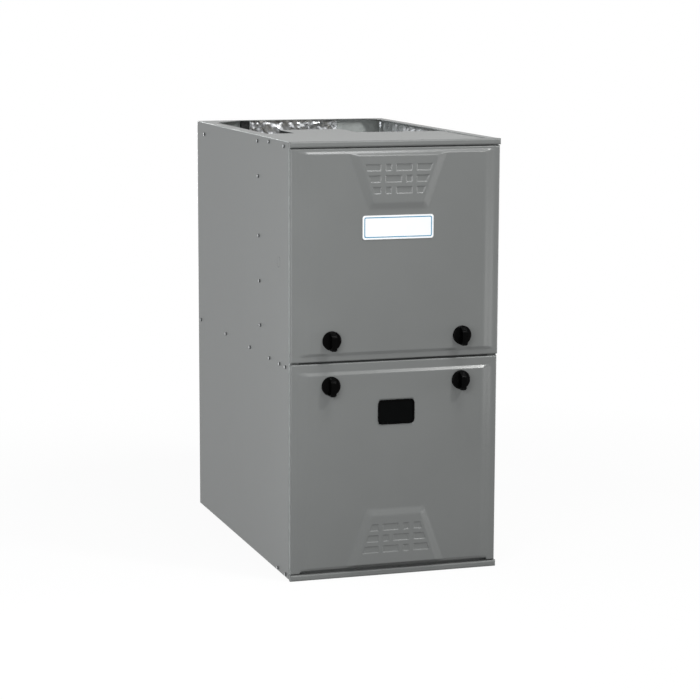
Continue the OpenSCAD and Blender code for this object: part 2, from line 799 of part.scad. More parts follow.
// Combination gas valve; its threaded inlet faces the hole in the right wall
module gas_valve() {
    y0 = train_y - valve_d / 2;
    color([0.66, 0.67, 0.68]) difference() {
        union() {
            block([valve_x - valve_w / 2, valve_x + valve_w / 2], [y0, y0 + valve_d],
                [valve_z0, valve_z1]);
            translate([valve_x, train_y, valve_z1 - 1]) cylinder(r = 17, h = 11);
            translate([valve_x + valve_w / 2 - 1, train_y, inlet_z]) rod_x(16, 9);
            translate([valve_x - valve_w / 2 + 1, train_y, valve_z0 + 50]) rotate([0, -90, 0])
                cylinder(r = 22, h = 21);
            translate([valve_x - 12, y0 + 1, valve_z0 + 20]) rod_front(9, 7);
        }
        translate([valve_x + valve_w / 2 + 8 - gas_inlet_l, train_y, inlet_z])
            rod_x(gas_inlet_r, gas_inlet_l + 1);
        translate([valve_x + 8, y0 - 1, valve_z1 - 26]) rod_y(4 + shaft_gap, 14);
    }
}

// Off and on knob of the gas valve
module gas_valve_knob() {
    y0 = train_y - valve_d / 2;
    color([0.75, 0.12, 0.10]) translate([valve_x + 8, y0 - 0.3, valve_z1 - 26]) union() {
        rod_y(4, 12);
        difference() {
            rod_front(14, 11);
            for (s = [-1, 1]) translate([0, -5, 0]) block([s * 10 - 5.5, s * 10 + 5.5], [-7, 1], [-16, 16]);
        }
        rod_front(14, 4);
    }
}

// Hot-surface igniter on its bracket, in front of the first tube
module igniter() {
    x = burner_xs[0] - 8;
    y = cell_y - 14;
    color([0.86, 0.84, 0.78]) union() {
        block([x - 9, x + 9], [y - 8, y + 6], [box_z0 + 1.2 + lap_gap, box_z0 + 4]);
        block([x - 6, x + 6], [y - 6, y + 4], [box_z0 + 4 - eps, box_z0 + 18]);
        for (dx = [-4, 2]) block([x + dx, x + dx + 2], [y - 3, y], [box_z0 + 18 - eps, burner_z - 18.5]);
    }
}

// Flame sensing rod in front of the last tube
module flame_sensor() {
    x = burner_xs[burner_count - 1] + 6;
    y = cell_y - 14;
    color([0.80, 0.79, 0.76]) union() {
        block([x - 8, x + 8], [y - 7, y + 7], [box_z0 + 1.2 + lap_gap, box_z0 + 3]);
        translate([x, y, box_z0 + 3 - eps]) cylinder(r = 4.5, h = 16);
        translate([x, y, box_z0 + 19 - 2 * eps]) cylinder(r = 1.2, h = burner_z - 19 - box_z0 - 18.5);
    }
}

// Snap-disc switches: two on the burner box, one on the cell panel
module limit_switches() {
    color([0.20, 0.20, 0.22]) union() {
        for (s = [0, 1]) mirror([s, 0, 0]) translate([box_w / 2 + lap_gap, cell_y - 50, box_z0 + 22]) {
            block([0, 1], [-17, 17], [-11, 11]);
            rod_x(9, 12);
            block([11, 19], [-6, -5], [-4, 4]);
            block([11, 19], [5, 6], [-4, 4]);
        }
        translate([-(lap_x - 36), cell_y - lap_gap, burner_z + 60]) {
            block([-17, 17], [-1, 0], [-14, 14]);
            rod_front(9, 12);
            block([-6, -5], [-20, -11], [-4, 4]);
            block([5, 6], [-20, -11], [-4, 4]);
        }
    }
}

// Rubber grommet in the gas pipe hole
module gas_grommet() {
    color(black) translate([in_x - 4, train_y, inlet_z]) difference() {
        union() {
            rod_x(grommet_r + 2.8, sheet_t + 8);
            rod_x(grommet_r + 7, 4 - lap_gap);
            translate([4 + sheet_t + lap_gap, 0, 0]) rod_x(grommet_r + 7, 4 - lap_gap);
        }
        translate([-1, 0, 0]) rod_x(grommet_r, sheet_t + 10);
    }
}

// ---------- inducer and vent ----------

function inducer_outline(grow) =
    let (end = inducer_mouth_x - inducer_x - 8 - inducer_wall + grow)
    concat(spiral(inducer_start + grow, inducer_end + grow, 60, -270, 44),
        [[end, inducer_end + grow], [end, vent_z - inducer_z - inducer_mouth_r - grow - 1]]);

// Moulded scroll of the combustion air inducer
module inducer_housing() {
    motor_hole = 14;
    color(dark) translate([0, inducer_y1, 0]) difference() {
        union() {
            translate([inducer_x, 0, inducer_z]) sweep_front(inducer_depth)
                polygon(inducer_outline(inducer_wall));
            translate([inducer_mouth_x - 9, -inducer_depth / 2, vent_z])
                rod_x(inducer_mouth_r + inducer_wall, 26);
            translate([-inducer_end - inducer_wall - 10 + inducer_x, -inducer_depth / 2, inducer_z + 22])
                rod_x(nipple_r, 20);
            for (a = [20, 140, 260]) translate([inducer_x + 70 * cos(a), 0, inducer_z + 70 * sin(a)])
                rod_front(7, 8);
        }
        translate([inducer_x, -inducer_wall, inducer_z])
            sweep_front(inducer_depth - 2 * inducer_wall) polygon(inducer_outline(0));
        translate([inducer_mouth_x - 30, -inducer_depth / 2, vent_z]) rod_x(inducer_mouth_r - 2, 60);
        translate([inducer_x, -6, inducer_z]) rod_y(26, 8);
        translate([inducer_x, 1 - inducer_depth - 4, inducer_z]) rod_y(motor_hole, 8);
    }
}

// Inducer motor with its vented end bells
module inducer_motor() {
    y1 = inducer_y0 - lap_gap;
    color([0.30, 0.31, 0.33]) difference() {
        union() {
            translate([inducer_x, y1, inducer_z]) rod_front(inducer_motor_r + 8, 3);
            translate([inducer_x, y1 - 3 + eps, inducer_z]) rod_front(inducer_motor_r, inducer_motor_l - 3);
            translate([inducer_x, y1 - inducer_motor_l + eps, inducer_z]) rod_front(14, 5);
        }
        translate([inducer_x, y1 + 1, inducer_z])
            rod_front(inducer_shaft_r + shaft_gap, inducer_motor_l + 8);
        for (a = [0 : 45 : 315]) translate([inducer_x, 0, inducer_z]) rotate([0, a, 0])
            block([22, 34], [y1 - inducer_motor_l - 1, y1 - inducer_motor_l + 6], [-3.5, 3.5]);
        for (a = [0 : 30 : 330]) translate([inducer_x, 0, inducer_z]) rotate([0, a, 0])
            block([inducer_motor_r - 3, inducer_motor_r + 1],
                [y1 - inducer_motor_l + 12, y1 - 14], [-3, 3]);
    }
}

// Inducer wheel with curved blades
module inducer_wheel() {
    y1 = inducer_y1 - 14;
    hub_r = 11;
    color([0.45, 0.46, 0.47]) translate([inducer_x, y1, inducer_z]) difference() {
        union() {
            translate([0, -inducer_w + 2, 0]) rod_front(inducer_d / 2, 2);
            translate([0, -4, 0]) rod_front(hub_r, inducer_w - 4);
            for (i = [0 : 9]) rotate([0, i * 36, 0]) sweep_front(inducer_w - 1)
                polygon([[25, 0], [40, 5], [54, 15], [53, 16.5], [39, 6.6], [25, 1.6]]);
        }
        translate([0, 1, 0]) rod_front(inducer_shaft_r + shaft_gap, inducer_w + 4);
    }
}

// Inducer shaft with the motor's cooling fan on its front end
module inducer_shaft() {
    y_end = inducer_y0 - lap_gap - inducer_motor_l - 7;
    color(bare_steel) translate([inducer_x, 0, inducer_z]) union() {
        translate([0, inducer_y1 - 17, 0]) rod_front(inducer_shaft_r, inducer_y1 - 17 - y_end + 14);
        translate([0, y_end, 0]) rod_front(12, 9);
        for (i = [0 : 5]) rotate([0, i * 60, 0]) translate([0, y_end - 1, 0])
            rotate([24, 0, 0]) block([10, 40], [-2, -0.8], [-9, 9]);
    }
}

// Rubber coupling with two clamps between inducer and vent pipe
module vent_coupling() {
    color(black) translate([inducer_mouth_x, vent_y, vent_z]) difference() {
        union() {
            rod_x(vent_r + 4, coupling_l);
            for (x = [5, coupling_l - 15]) translate([x, 0, 0]) rod_x(vent_r + 5, 10);
        }
        translate([-1, 0, 0]) rod_x(inducer_mouth_r + inducer_wall + lap_gap, 20);
        translate([18, 0, 0]) rod_x(vent_r + lap_gap, coupling_l);
    }
}

// Vent pipe from the coupling to the collar in the right wall
module vent_pipe() {
    x0 = inducer_mouth_x + 20;
    color([0.88, 0.88, 0.86]) translate([x0, vent_y, vent_z])
        pipe_x(vent_r, 4, vent_seat_x - 2.5 - x0);
}

// Flanged pipe socket in the right wall
module wall_collar(x_in) {
    difference() {
        union() {
            translate([x_in, 0, 0]) rod_x(socket_r + socket_wall, collar_out - x_in);
            translate([half_w + lap_gap, 0, 0]) rod_x(collar_flange_r, 3);
        }
        translate([vent_seat_x, 0, 0]) rod_x(socket_r, socket_l + 1);
        translate([x_in - 1, 0, 0]) rod_x(socket_r - 3.5, collar_out - x_in);
        children();
    }
}

module vent_collar() {
    color(dark) translate([0, vent_y, vent_z]) wall_collar(collar_in)
        translate([collar_in - 1, 0, 0]) rod_x(vent_r + lap_gap, vent_seat_x - 2 - collar_in + 1);
}

module intake_collar() {
    color(dark) translate([0, vent_y, intake_z]) wall_collar(vent_seat_x - 3);
}

// Round diaphragm switch on its bracket
module pressure_switch() {
    color([0.24, 0.25, 0.27]) translate([pswitch_x, cell_y - lap_gap, pswitch_z]) union() {
        block([-20, 20], [-1.5, 0], [-44, 44]);
        translate([0, -1.5 + eps, 0]) rod_front(35, 9);
        translate([0, -10.5 + 2 * eps, 0]) rod_front(32, 10);
        translate([0, -20.5 + 3 * eps, 0]) rod_front(12, 8);
        translate([0, -15, -30]) rotate([180, 0, 0]) cylinder(r = nipple_r, h = 18);
        block([-4, -3], [-36, -27], [-4, 4]);
        block([3, 4], [-36, -27], [-4, 4]);
    }
}

// Rubber tube from the switch down to the nipple of the inducer
module pressure_tube() {
    top = [pswitch_x, cell_y - lap_gap - 15, pswitch_z - 39];
    end_x = inducer_x - inducer_end + 3;
    end_z = inducer_z + 22;
    color(black) difference() {
        hose([top, top + [0, 0, -22], top + [3, -14, -32], top + [10, -40, -38],
            [end_x - 16, vent_y, end_z], [end_x, vent_y, end_z]], nipple_r + 1.5);
        translate(top + [0, 0, -10]) cylinder(r = nipple_r + 0.1, h = 12);
        translate([end_x - 12, vent_y, end_z]) rod_x(nipple_r + 0.1, 14);
    }
}

// ---------- condensate ----------

// Moulded trap on the right wall; its outlet passes out through the wall
module condensate_trap() {
    z0 = drain_z - 26;
    color([0.20, 0.21, 0.22]) difference() {
        union() {
            block([trap_x - trap_w / 2, trap_x + trap_w / 2], [trap_y - 30, trap_y + 30],
                [z0, trap_z1 - 12]);
            translate([trap_x, trap_y, trap_z1 - 13]) cylinder(r = 10, h = 13);
            translate([trap_x, trap_y, drain_z]) rod_x(drain_r, half_w + 22 - trap_x);
            translate([trap_x - 8, trap_y - 29, z0 + 14]) rod_front(9, 7);
        }
        translate([trap_x, trap_y, trap_z1 - 20]) cylinder(r = 7, h = 24);
        translate([trap_x + 10, trap_y, drain_z]) rod_x(drain_r - 3, half_w + 24 - trap_x);
    }
}

// Drain hose from the collector down through the shelf to the trap
module drain_hose() {
    port = [header_w / 2 - 26, collector_y - 20, coil_z0 - 14 - lap_gap];
    color(black) hose([port, port + [0, 0, -10], [trap_x, trap_y, port[2] - 10],
        [trap_x, trap_y, trap_z1 + lap_gap]], 7);
}

// ---------- blower ----------

// Blower outline in (Y, Z) round the wheel's axis, open at the shelf
function blower_outline(grow) = concat(
    spiral(scroll_start + grow, scroll_end + grow, cutoff_a, 360, 50),
    [[scroll_end + grow, blower_top - wheel_z], [scroll_start * cos(cutoff_a) - grow, blower_top - wheel_z]]);

// Bell mouth of the inlet, turned in from the side plate
module inlet_ring() {
    centre = [inlet_r + bell_r, -bell_r];
    rotate([0, 90, 0]) rotate_extrude($fn = 64) intersection() {
        difference() {
            translate(centre) circle(bell_r);
            translate(centre) circle(bell_r - sheet_t);
        }
        translate([inlet_r, -bell_r]) square(bell_r);
    }
}

// Scroll housing hung under the shelf
module blower_housing() {
    color(bare_steel) translate([0, wheel_y, wheel_z]) union() {
        sweep_x(housing_w) difference() {
            polygon(blower_outline(sheet_t));
            polygon(blower_outline(0));
            translate([scroll_start * cos(cutoff_a), blower_top - wheel_z - 2])
                square([scroll_end - scroll_start * cos(cutoff_a), 4]);
        }
        for (s = [0, 1]) mirror([s, 0, 0]) {
            difference() {
                translate([side_x - sheet_t / 2, 0, 0]) sweep_x(sheet_t) polygon(blower_outline(sheet_t));
                translate([side_x - 3, 0, 0]) rod_x(inlet_r + bell_r - 0.1, 6);
            }
            translate([side_x, 0, 0]) inlet_ring();
            block([side_x - sheet_t, side_x + 14],
                [scroll_start * cos(cutoff_a), scroll_end], [blower_top - wheel_z - sheet_t, blower_top - wheel_z]);
        }
    }
}

// Forward-curved blower wheel
module blower_wheel() {
    outer = wheel_d / 2;
    inner = outer - 17;
    hub_r = 18;
    color(bare_steel) translate([0, wheel_y, wheel_z]) difference() {
        union() {
            for (i = [0 : blade_count - 1]) rotate([i * 360 / blade_count, 0, 0])
                sweep_x(wheel_w - 2) polygon(blade_points(inner, outer - 1));
            for (x = [-wheel_w / 2, wheel_w / 2 - 5]) translate([x, 0, 0]) pipe_x(outer, 7, 5);
            translate([-1, 0, 0]) rod_x(outer - 3, 2);
            translate([-16, 0, 0]) rod_x(hub_r, 30);
        }
        translate([-20, 0, 0]) rod_x(shaft_r + shaft_gap, 40);
    }
}

// Curved blade in cross-section between two radii
function blade_points(r0, r1) =
    let (t = 1, n = 3, bow = 5, pts = [for (i = [0 : n]) let (k = i / n)
        [r0 + (r1 - r0) * k, bow * k * k + 2 * k]])
    concat([for (p = pts) [p[0], p[1]]], [for (i = [n : -1 : 0]) [pts[i][0], pts[i][1] + t]]);

module blower_shaft() {
    color([0.62, 0.63, 0.65]) translate([-22, wheel_y, wheel_z])
        rod_x(shaft_r, motor_x0 + motor_l + 22 + 8);
}

// Blower motor with its end bells, partly inside the wheel
module blower_motor() {
    color([0.22, 0.23, 0.25]) translate([motor_x0, wheel_y, wheel_z]) difference() {
        union() {
            rod_x(motor_r - 5, motor_l);
            translate([8, 0, 0]) rod_x(motor_r, motor_l - 16);
            translate([-4, 0, 0]) rod_x(16, motor_l + 6);
        }
        translate([-6, 0, 0]) rod_x(shaft_r + shaft_gap, motor_l + 20);
        for (a = [0 : 30 : 330]) rotate([a, 0, 0])
            block([motor_l - 5, motor_l + 1], [30, 52], [-4, 4]);
    }
}

// Belly band with three arms that carry the motor on the inlet ring
module motor_mount() {
    band_x = side_x + 4;
    arm_r = inlet_r + 24;
    color([0.35, 0.36, 0.37]) translate([0, wheel_y, wheel_z]) union() {
        translate([band_x, 0, 0]) difference() {
            rod_x(motor_r + 2.5, 18);
            translate([-1, 0, 0]) rod_x(motor_r + lap_gap, 20);
        }
        for (a = [90, 210, 330]) rotate([a, 0, 0]) {
            block([band_x + 4, band_x + 14], [motor_r + 1, arm_r - 6], [-1.5, 1.5]);
            block([side_x + lap_gap, band_x + 14], [arm_r - 8, arm_r - 5], [-7, 7]);
            block([side_x + lap_gap, side_x + lap_gap + 2], [arm_r - 8, arm_r + 4], [-7, 7]);
        }
    }
}

// Run capacitor strapped to the left side of the housing
module capacitor() {
    x1 = -side_x - lap_gap;
    y = wheel_y - 8;
    z = 62;
    color([0.75, 0.76, 0.77]) translate([x1 - 17, y, z]) union() {
        translate([0, -10, 0]) cylinder(r = 16, h = 78);
        translate([0, 10, 0]) cylinder(r = 16, h = 78);
        block([-16, 16], [-10, 10], [0, 78]);
        block([-18, 17], [-28, -26], [30, 44]);
        block([-18, 17], [26, 28], [30, 44]);
        block([-18, -16], [-28, 28], [30, 44]);
        block([15, 17], [-40, 40], [30, 44]);
        for (dy = [-8, 8]) block([-4, 4], [dy - 0.5, dy + 0.5], [77, 88]);
    }
}

// ---------- controls ----------

// Sheet bracket that hangs the controls from the shelf
module control_bracket() {
    y1 = bracket_y;
    z1 = bracket_z0 + bracket_h;
    color(bare_steel) union() {
        block([-bracket_w / 2, bracket_w / 2], [y1, y1 + sheet_t], [bracket_z0, z1]);
        block([-bracket_w / 2, bracket_w / 2], [y1, y1 + 18], [z1 - sheet_t, z1]);
        block([-bracket_w / 2, bracket_w / 2], [y1, y1 + 10], [bracket_z0, bracket_z0 + sheet_t]);
        for (s = [0, 1]) mirror([s, 0, 0])
            block([bracket_w / 2 - sheet_t, bracket_w / 2], [y1, y1 + 12], [bracket_z0, z1]);
    }
}

// Integrated furnace control: board, relays, terminal strips and plugs
module control_board() {
    x0 = -bracket_w / 2 + 66;
    z0 = bracket_z0 + 14;
    y0 = bracket_y - 9;
    color([0.10, 0.34, 0.18]) union() {
        block([x0, x0 + board_w], [y0 - 1.6, y0], [z0, z0 + board_h]);
        for (dx = [6, board_w - 6], dz = [6, board_h - 6])
            translate([x0 + dx, y0 - eps, z0 + dz]) rod_y(3, 9 - lap_gap);
        for (i = [0 : 2]) block([x0 + 14 + i * 24, x0 + 32 + i * 24], [y0 - 18, y0 - 1.5],
            [z0 + board_h - 34, z0 + board_h - 16]);
        block([x0 + 10, x0 + 78], [y0 - 11, y0 - 1.5], [z0 + 8, z0 + 19]);
        for (i = [0 : 4]) block([x0 + board_w - 18, x0 + board_w - 8], [y0 - 10, y0 - 1.5],
            [z0 + 20 + i * 17, z0 + 30 + i * 17]);
        block([x0 + 92, x0 + 122], [y0 - 14, y0 - 1.5], [z0 + 16, z0 + 30]);
        block([x0 + 44, x0 + 62], [y0 - 4, y0 - 1.5], [z0 + 46, z0 + 64]);
        translate([x0 + 96, y0 - 1.5, z0 + 66]) rod_front(7, 14);
        translate([x0 + 26, y0 - 1.5, z0 + 54]) rod_front(5, 10);
    }
}

// Low-voltage transformer beside the board
module transformer() {
    x = -bracket_w / 2 + 31;
    z = bracket_z0 + 40;
    y1 = bracket_y - lap_gap;
    color([0.32, 0.30, 0.28]) union() {
        block([x - 25, x + 25], [y1 - 1.5, y1], [z - 26, z + 30]);
        block([x - 21, x + 21], [y1 - 34, y1 - 1.4], [z - 18, z + 18]);
        block([x - 14, x + 14], [y1 - 41, y1 - 1.4], [z - 12, z + 12]);
    }
}

// Wiring box on the right wall, behind the cable entry
module junction_box() {
    x1 = in_x - lap_gap;
    x0 = x1 - jbox_w;
    y0 = cable_y - jbox_d / 2;
    z0 = cable_z - jbox_h / 2;
    t = 1.2;
    color(bare_steel) difference() {
        block([x0, x1], [y0, y0 + jbox_d], [z0, z0 + jbox_h]);
        block([x0 + t, x1 - t], [y0 - 1, y0 + jbox_d - t], [z0 + t, z0 + jbox_h - t]);
        translate([x1 - 4, cable_y, cable_z]) rod_x(cable_r, 6);
    }
}

module junction_box_cover() {
    x1 = in_x - lap_gap;
    x0 = x1 - jbox_w;
    y0 = cable_y - jbox_d / 2 - lap_gap;
    z0 = cable_z - jbox_h / 2;
    color(bare_steel) union() {
        block([x0 - 1.5, x1], [y0 - 1.2, y0], [z0 - 1.5, z0 + jbox_h + 1.5]);
        block([x0 - 1.5, x0 - 0.3], [y0 - 1.2, y0 + 8], [z0 - 1.5, z0 + jbox_h + 1.5]);
    }
}

// Door interlock switch under the tie bar's web
module door_switch() {
    y0 = tie_y + 8;
    z1 = shelf_under - lap_gap - tie_t - lap_gap;
    color(black) difference() {
        union() {
            block([switch_x - 13, switch_x + 13], [y0, y0 + 26], [switch_z - 10, z1]);
            block([switch_x - 5, switch_x - 4], [y0 + 25, y0 + 34], [switch_z - 3, switch_z + 4]);
            block([switch_x + 4, switch_x + 5], [y0 + 25, y0 + 34], [switch_z - 3, switch_z + 4]);
        }
        translate([switch_x, y0 - 1, switch_z]) rod_y(3.5 + shaft_gap, 22);
    }
}

// Plunger of the interlock, held in by the lower door
module door_switch_plunger() {
    y1 = tie_y + 8 + 19;
    color([0.85, 0.85, 0.83]) union() {
        translate([switch_x, plunger_tip_y, switch_z]) rod_y(3.5, y1 - plunger_tip_y);
        translate([switch_x, plunger_tip_y, switch_z]) rod_y(5, 3);
    }
}

// Wires from the board up through the shelf to the switches at the burners
module wiring() {
    plug = [-bracket_w / 2 + 92, bracket_y - 25.3, bracket_z0 + 68];
    wall_x = -trap_x;
    end_x = -box_w / 2 - lap_gap - 19.3;
    color([0.12, 0.12, 0.14]) hose([plug, plug + [-70, -5, 14],
        [wall_x + 20, bracket_y, bracket_z0 + 120], [wall_x, trap_y - 40, shelf_z - 60],
        [wall_x, trap_y, shelf_z - 24], [wall_x, trap_y, shelf_z + 60],
        [wall_x - 4, trap_y - 20, box_z0 - 120], [wall_x - 4, trap_y - 10, box_z0 - 30],
        [end_x - 12, cell_y - 50, box_z0 + 22], [end_x, cell_y - 50, box_z0 + 22]], 4.5);
}

// ---------- doors ----------

// Pressed field with slopes on all four sides; v runs away from the seam
module field_form(h, seam_border) {
    xo = door_w / 2 - side_border;
    xi = xo - side_slope;
    v0 = seam_border;
    v1 = h - far_border;
    o = door_depth;
    intersection() {
        translate([0, v0, 0]) sweep_up(v1 - v0) polygon([[-xo, o - 2], [xo, o - 2], [xo, o],
            [xi, field_o], [-xi, field_o], [-xo, o]]);
        sweep_x(door_w) polygon([[v0, o - 2], [v1, o - 2], [v1, o], [v1 - far_slope, field_o],
            [v0 + seam_slope, field_o], [v0, o]]);
    }
}

function plateau_top(h) = h - far_border - far_slope - 4.5;
function plateau_half(v, h) =
    let (v_hi = plateau_top(h), v_lo = h - plateau_l + plateau_end_slope)
    (plateau_narrow - plateau_end_slope + 1)
    + (plateau_wide - plateau_side_slope - plateau_narrow + plateau_end_slope - 1)
    * (v - v_lo) / (v_hi - v_lo);

// Raised trapezoid with slopes on all four sides
module plateau_form(h) {
    v_hi = h - far_border - far_slope;
    v_lo = h - plateau_l;
    top_hi = plateau_top(h);
    top_lo = v_lo + plateau_end_slope;
    hull() {
        translate([0, 0, field_o - 1.5]) linear_extrude(1.5) polygon([[-plateau_wide, v_hi],
            [plateau_wide, v_hi], [plateau_narrow, v_lo], [-plateau_narrow, v_lo]]);
        translate([0, 0, field_o + plateau_rise - eps]) linear_extrude(eps) polygon([
            [-plateau_half(top_hi, h), top_hi], [plateau_half(top_hi, h), top_hi],
            [plateau_half(top_lo, h), top_lo], [-plateau_half(top_lo, h), top_lo]]);
    }
}

// One brick between two ends; slant draws its outer end along the plateau's slope
module brick(x0, x1, v, grow, z0, depth, h, slant) {
    lo = v - brick_h / 2 - grow;
    hi = v + brick_h / 2 + grow;
    margin = 7 - grow;
    translate([0, 0, z0]) linear_extrude(depth) polygon(slant == 0
        ? [[x0 - grow, lo], [x1 + grow, lo], [x1 + grow, hi], [x0 - grow, hi]]
        : [[slant * (x0 - grow), lo], [slant * (plateau_half(lo, h) - margin), lo],
           [slant * (plateau_half(hi, h) - margin), hi], [slant * (x0 - grow), hi]]);
}

// Three rows of pressed bricks, short and long bricks changing places from row to row
module bricks(h, grow, z0, depth) {
    mid = (brick_short + brick_gap + brick_long) / 2;
    for (i = [0 : 2]) let (v = h - brick_first - i * brick_pitch, split = i == 1
            ? -mid + brick_long : -mid + brick_short) {
        brick(-mid, split, v, grow, z0, depth, h, 0);
        brick(split + brick_gap, mid, v, grow, z0, depth, h, 0);
        for (s = [-1, 1]) brick(mid + brick_gap, 0, v, grow, z0, depth, h, s);
    }
}

// Pan door drawn flat: x across, v away from the seam, outward up
module door_pan(h, seam_border, knob_v) {
    face = field_o + plateau_rise;
    difference() {
        union() {
            pan_form(door_w, h, door_depth, door_bend_r);
            field_form(h, seam_border);
            plateau_form(h);
        }
        difference() {
            union() {
                translate([0, sheet_t, -1]) pan_form(door_w - 2 * sheet_t, h - 2 * sheet_t,
                    door_depth - sheet_t + 1, door_bend_r - sheet_t);
                translate([0, 0, -sheet_t]) field_form(h, seam_border);
                translate([0, 0, -sheet_t]) plateau_form(h);
            }
            bricks(h, sheet_t, face - brick_depth - sheet_t, brick_depth + sheet_t);
        }
        bricks(h, 0, face - brick_depth, brick_depth + 1);
        for (s = [-1, 1]) translate([s * knob_x, knob_v, 0])
            cylinder(r = stem_r + stem_gap, h = face + 5);
    }
    // tabs that locate the far edge in the slots of the rail behind it
    for (s = [-1, 1]) block([s * tab_x - tab_w / 2, s * tab_x + tab_w / 2],
        [h - sheet_t, h], [-tab_l, 2]);
}

module pan_form(w, h, d, r) {
    intersection() {
        sweep_up(h) pan_section(w, d, r);
        translate([0, h / 2, 0]) sweep_x(w) pan_section(h, d, r);
    }
}

module place_upper() {
    translate([upper_door_play, door_rear_y, upper_door_z0]) rotate([90, 0, 0]) children();
}

module place_lower() {
    translate([0, door_rear_y, lower_door_z1]) rotate([90, 0, 0]) rotate([0, 0, 180]) children();
}

module upper_door() {
    color(paint) place_upper()
        door_pan(upper_door_h, upper_seam_border, upper_knob_z - upper_door_z0);
}

module lower_door() {
    color(paint) place_lower() difference() {
        door_pan(lower_door_h, lower_seam_border, lower_door_z1 - lower_knob_z);
        translate([0, lower_door_z1 - seam_z + sight_drop, 0]) linear_extrude(field_o + 5)
            rounded_rect(sight_w - 4, sight_h - 4, sight_r - 2);
    }
}

// Insulation slab inside a door
module liner_slab(h, seam_border, knob_v) {
    xi = door_w / 2 - side_border - side_slope - 2;
    o1 = field_o - sheet_t - lap_gap;
    difference() {
        block([-xi, xi], [seam_border + seam_slope + 2, h - far_border - far_slope - 2],
            [o1 - door_liner_t, o1]);
        for (s = [-1, 1]) translate([s * knob_x, knob_v, -1]) cylinder(r = stem_r + 4, h = o1 + 2);
    }
}

module upper_door_liner() {
    color(foil) place_upper()
        liner_slab(upper_door_h, upper_seam_border, upper_knob_z - upper_door_z0);
}

module lower_door_liner() {
    color(foil) place_lower() difference() {
        liner_slab(lower_door_h, lower_seam_border, lower_door_z1 - lower_knob_z);
        translate([0, lower_door_z1 - seam_z + sight_drop, -1]) linear_extrude(field_o)
            rounded_rect(sight_w + 6, sight_h + 6, sight_r);
    }
}

// Bare white plate where the name stood
module badge_plate() {
    color([0.93, 0.94, 0.95])
        translate([upper_door_play, field_y - 0.1, upper_door_z1 - plateau_l - badge_drop]) sweep_front(badge_t)
            rounded_rect(badge_w, badge_h, 5);
}

// Rim of the sight glass, clipped through the door
module sight_glass_frame() {
    rim_t = 2;
    color(black) translate([0, field_y, seam_z - sight_drop]) difference() {
        union() {
            translate([0, -0.1, 0]) sweep_front(rim_t) rounded_rect(sight_w, sight_h, sight_r);
            translate([0, 5, 0]) sweep_front(6) rounded_rect(sight_w - 5, sight_h - 5, sight_r - 2.5);
        }
        translate([0, 0.6, 0]) sweep_front(5)
            rounded_rect(sight_w - 2 * sight_rim, sight_h - 2 * sight_rim, sight_r - sight_rim);
        translate([0, 8, 0]) sweep_front(12)
            rounded_rect(sight_w - 2 * sight_rim - 4, sight_h - 2 * sight_rim - 4, sight_r - sight_rim);
    }
}

module sight_glass_lens() {
    color([0.05, 0.06, 0.07]) translate([0, field_y + 0.5, seam_z - sight_drop])
        sweep_front(1.8) rounded_rect(sight_w - 2 * sight_rim - 0.4, sight_h - 2 * sight_rim - 0.4,
            sight_r - sight_rim - 0.2);
}

// ---------- knobs ----------

// Quarter-turn knob in one piece with its stem and latch tongue; the tongue points along dir
module knob(dir) {
    tongue_y = tie_y + tie_t + 0.3;
    seat_y = field_y - knob_seat_gap;
    color(black) union() {
        // skirt with a turned edge
        translate([0, seat_y, 0]) rotate([90, 0, 0]) rotate_extrude($fn = 64) polygon([
            [0, 0], [knob_d / 2, 0], [knob_d / 2, knob_skirt_t - 2],
            [knob_d / 2 - 2, knob_skirt_t], [0, knob_skirt_t + 1]]);
        // finger grip, its pointer end reaching past the skirt
        translate([0, seat_y, 0]) intersection() {
            translate([-grip_w / 2, 0, 0]) rotate([90, 0, 90]) linear_extrude(grip_w) polygon([
                [0, -grip_reach], [0, knob_d / 2 - 2], [-knob_skirt_t, knob_d / 2 - 2],
                [-grip_h + 3, knob_d / 2 - 7], [-grip_h, knob_d / 2 - 11],
                [-grip_h, -grip_reach + 6], [-grip_h + 3, -grip_reach + 1.5],
                [-knob_skirt_t, -grip_reach]]);
            translate([0, 1, 0]) rotate([90, 0, 0]) linear_extrude(grip_h + 2) union() {
                translate([-grip_w / 2, -grip_reach + 3]) square([grip_w, knob_d + 10]);
                translate([0, -grip_reach + grip_w / 2]) circle(grip_w / 2);
            }
        }
        translate([0, seat_y - eps, 0]) rod_y(stem_r, tongue_y + tongue_t - seat_y + eps);
        // tongue behind the tie bar
        translate([0, tongue_y + tongue_t, 0]) sweep_front(tongue_t) union() {
            circle(tongue_w / 2 + 1);
            translate([-tongue_w / 2, min(0, dir * (tongue_reach - 3))])
                square([tongue_w, tongue_reach - 3]);
            translate([-tongue_w / 2 + 3, min(0, dir * tongue_reach)])
                square([tongue_w - 6, tongue_reach]);
        }
    }
}

module upper_left_knob() { translate([upper_door_play - knob_x, 0, upper_knob_z]) knob(-1); }
module upper_right_knob() { translate([upper_door_play + knob_x, 0, upper_knob_z]) knob(-1); }
module lower_left_knob() { translate([-knob_x, 0, lower_knob_z]) knob(1); }
module lower_right_knob() { translate([knob_x, 0, lower_knob_z]) knob(1); }

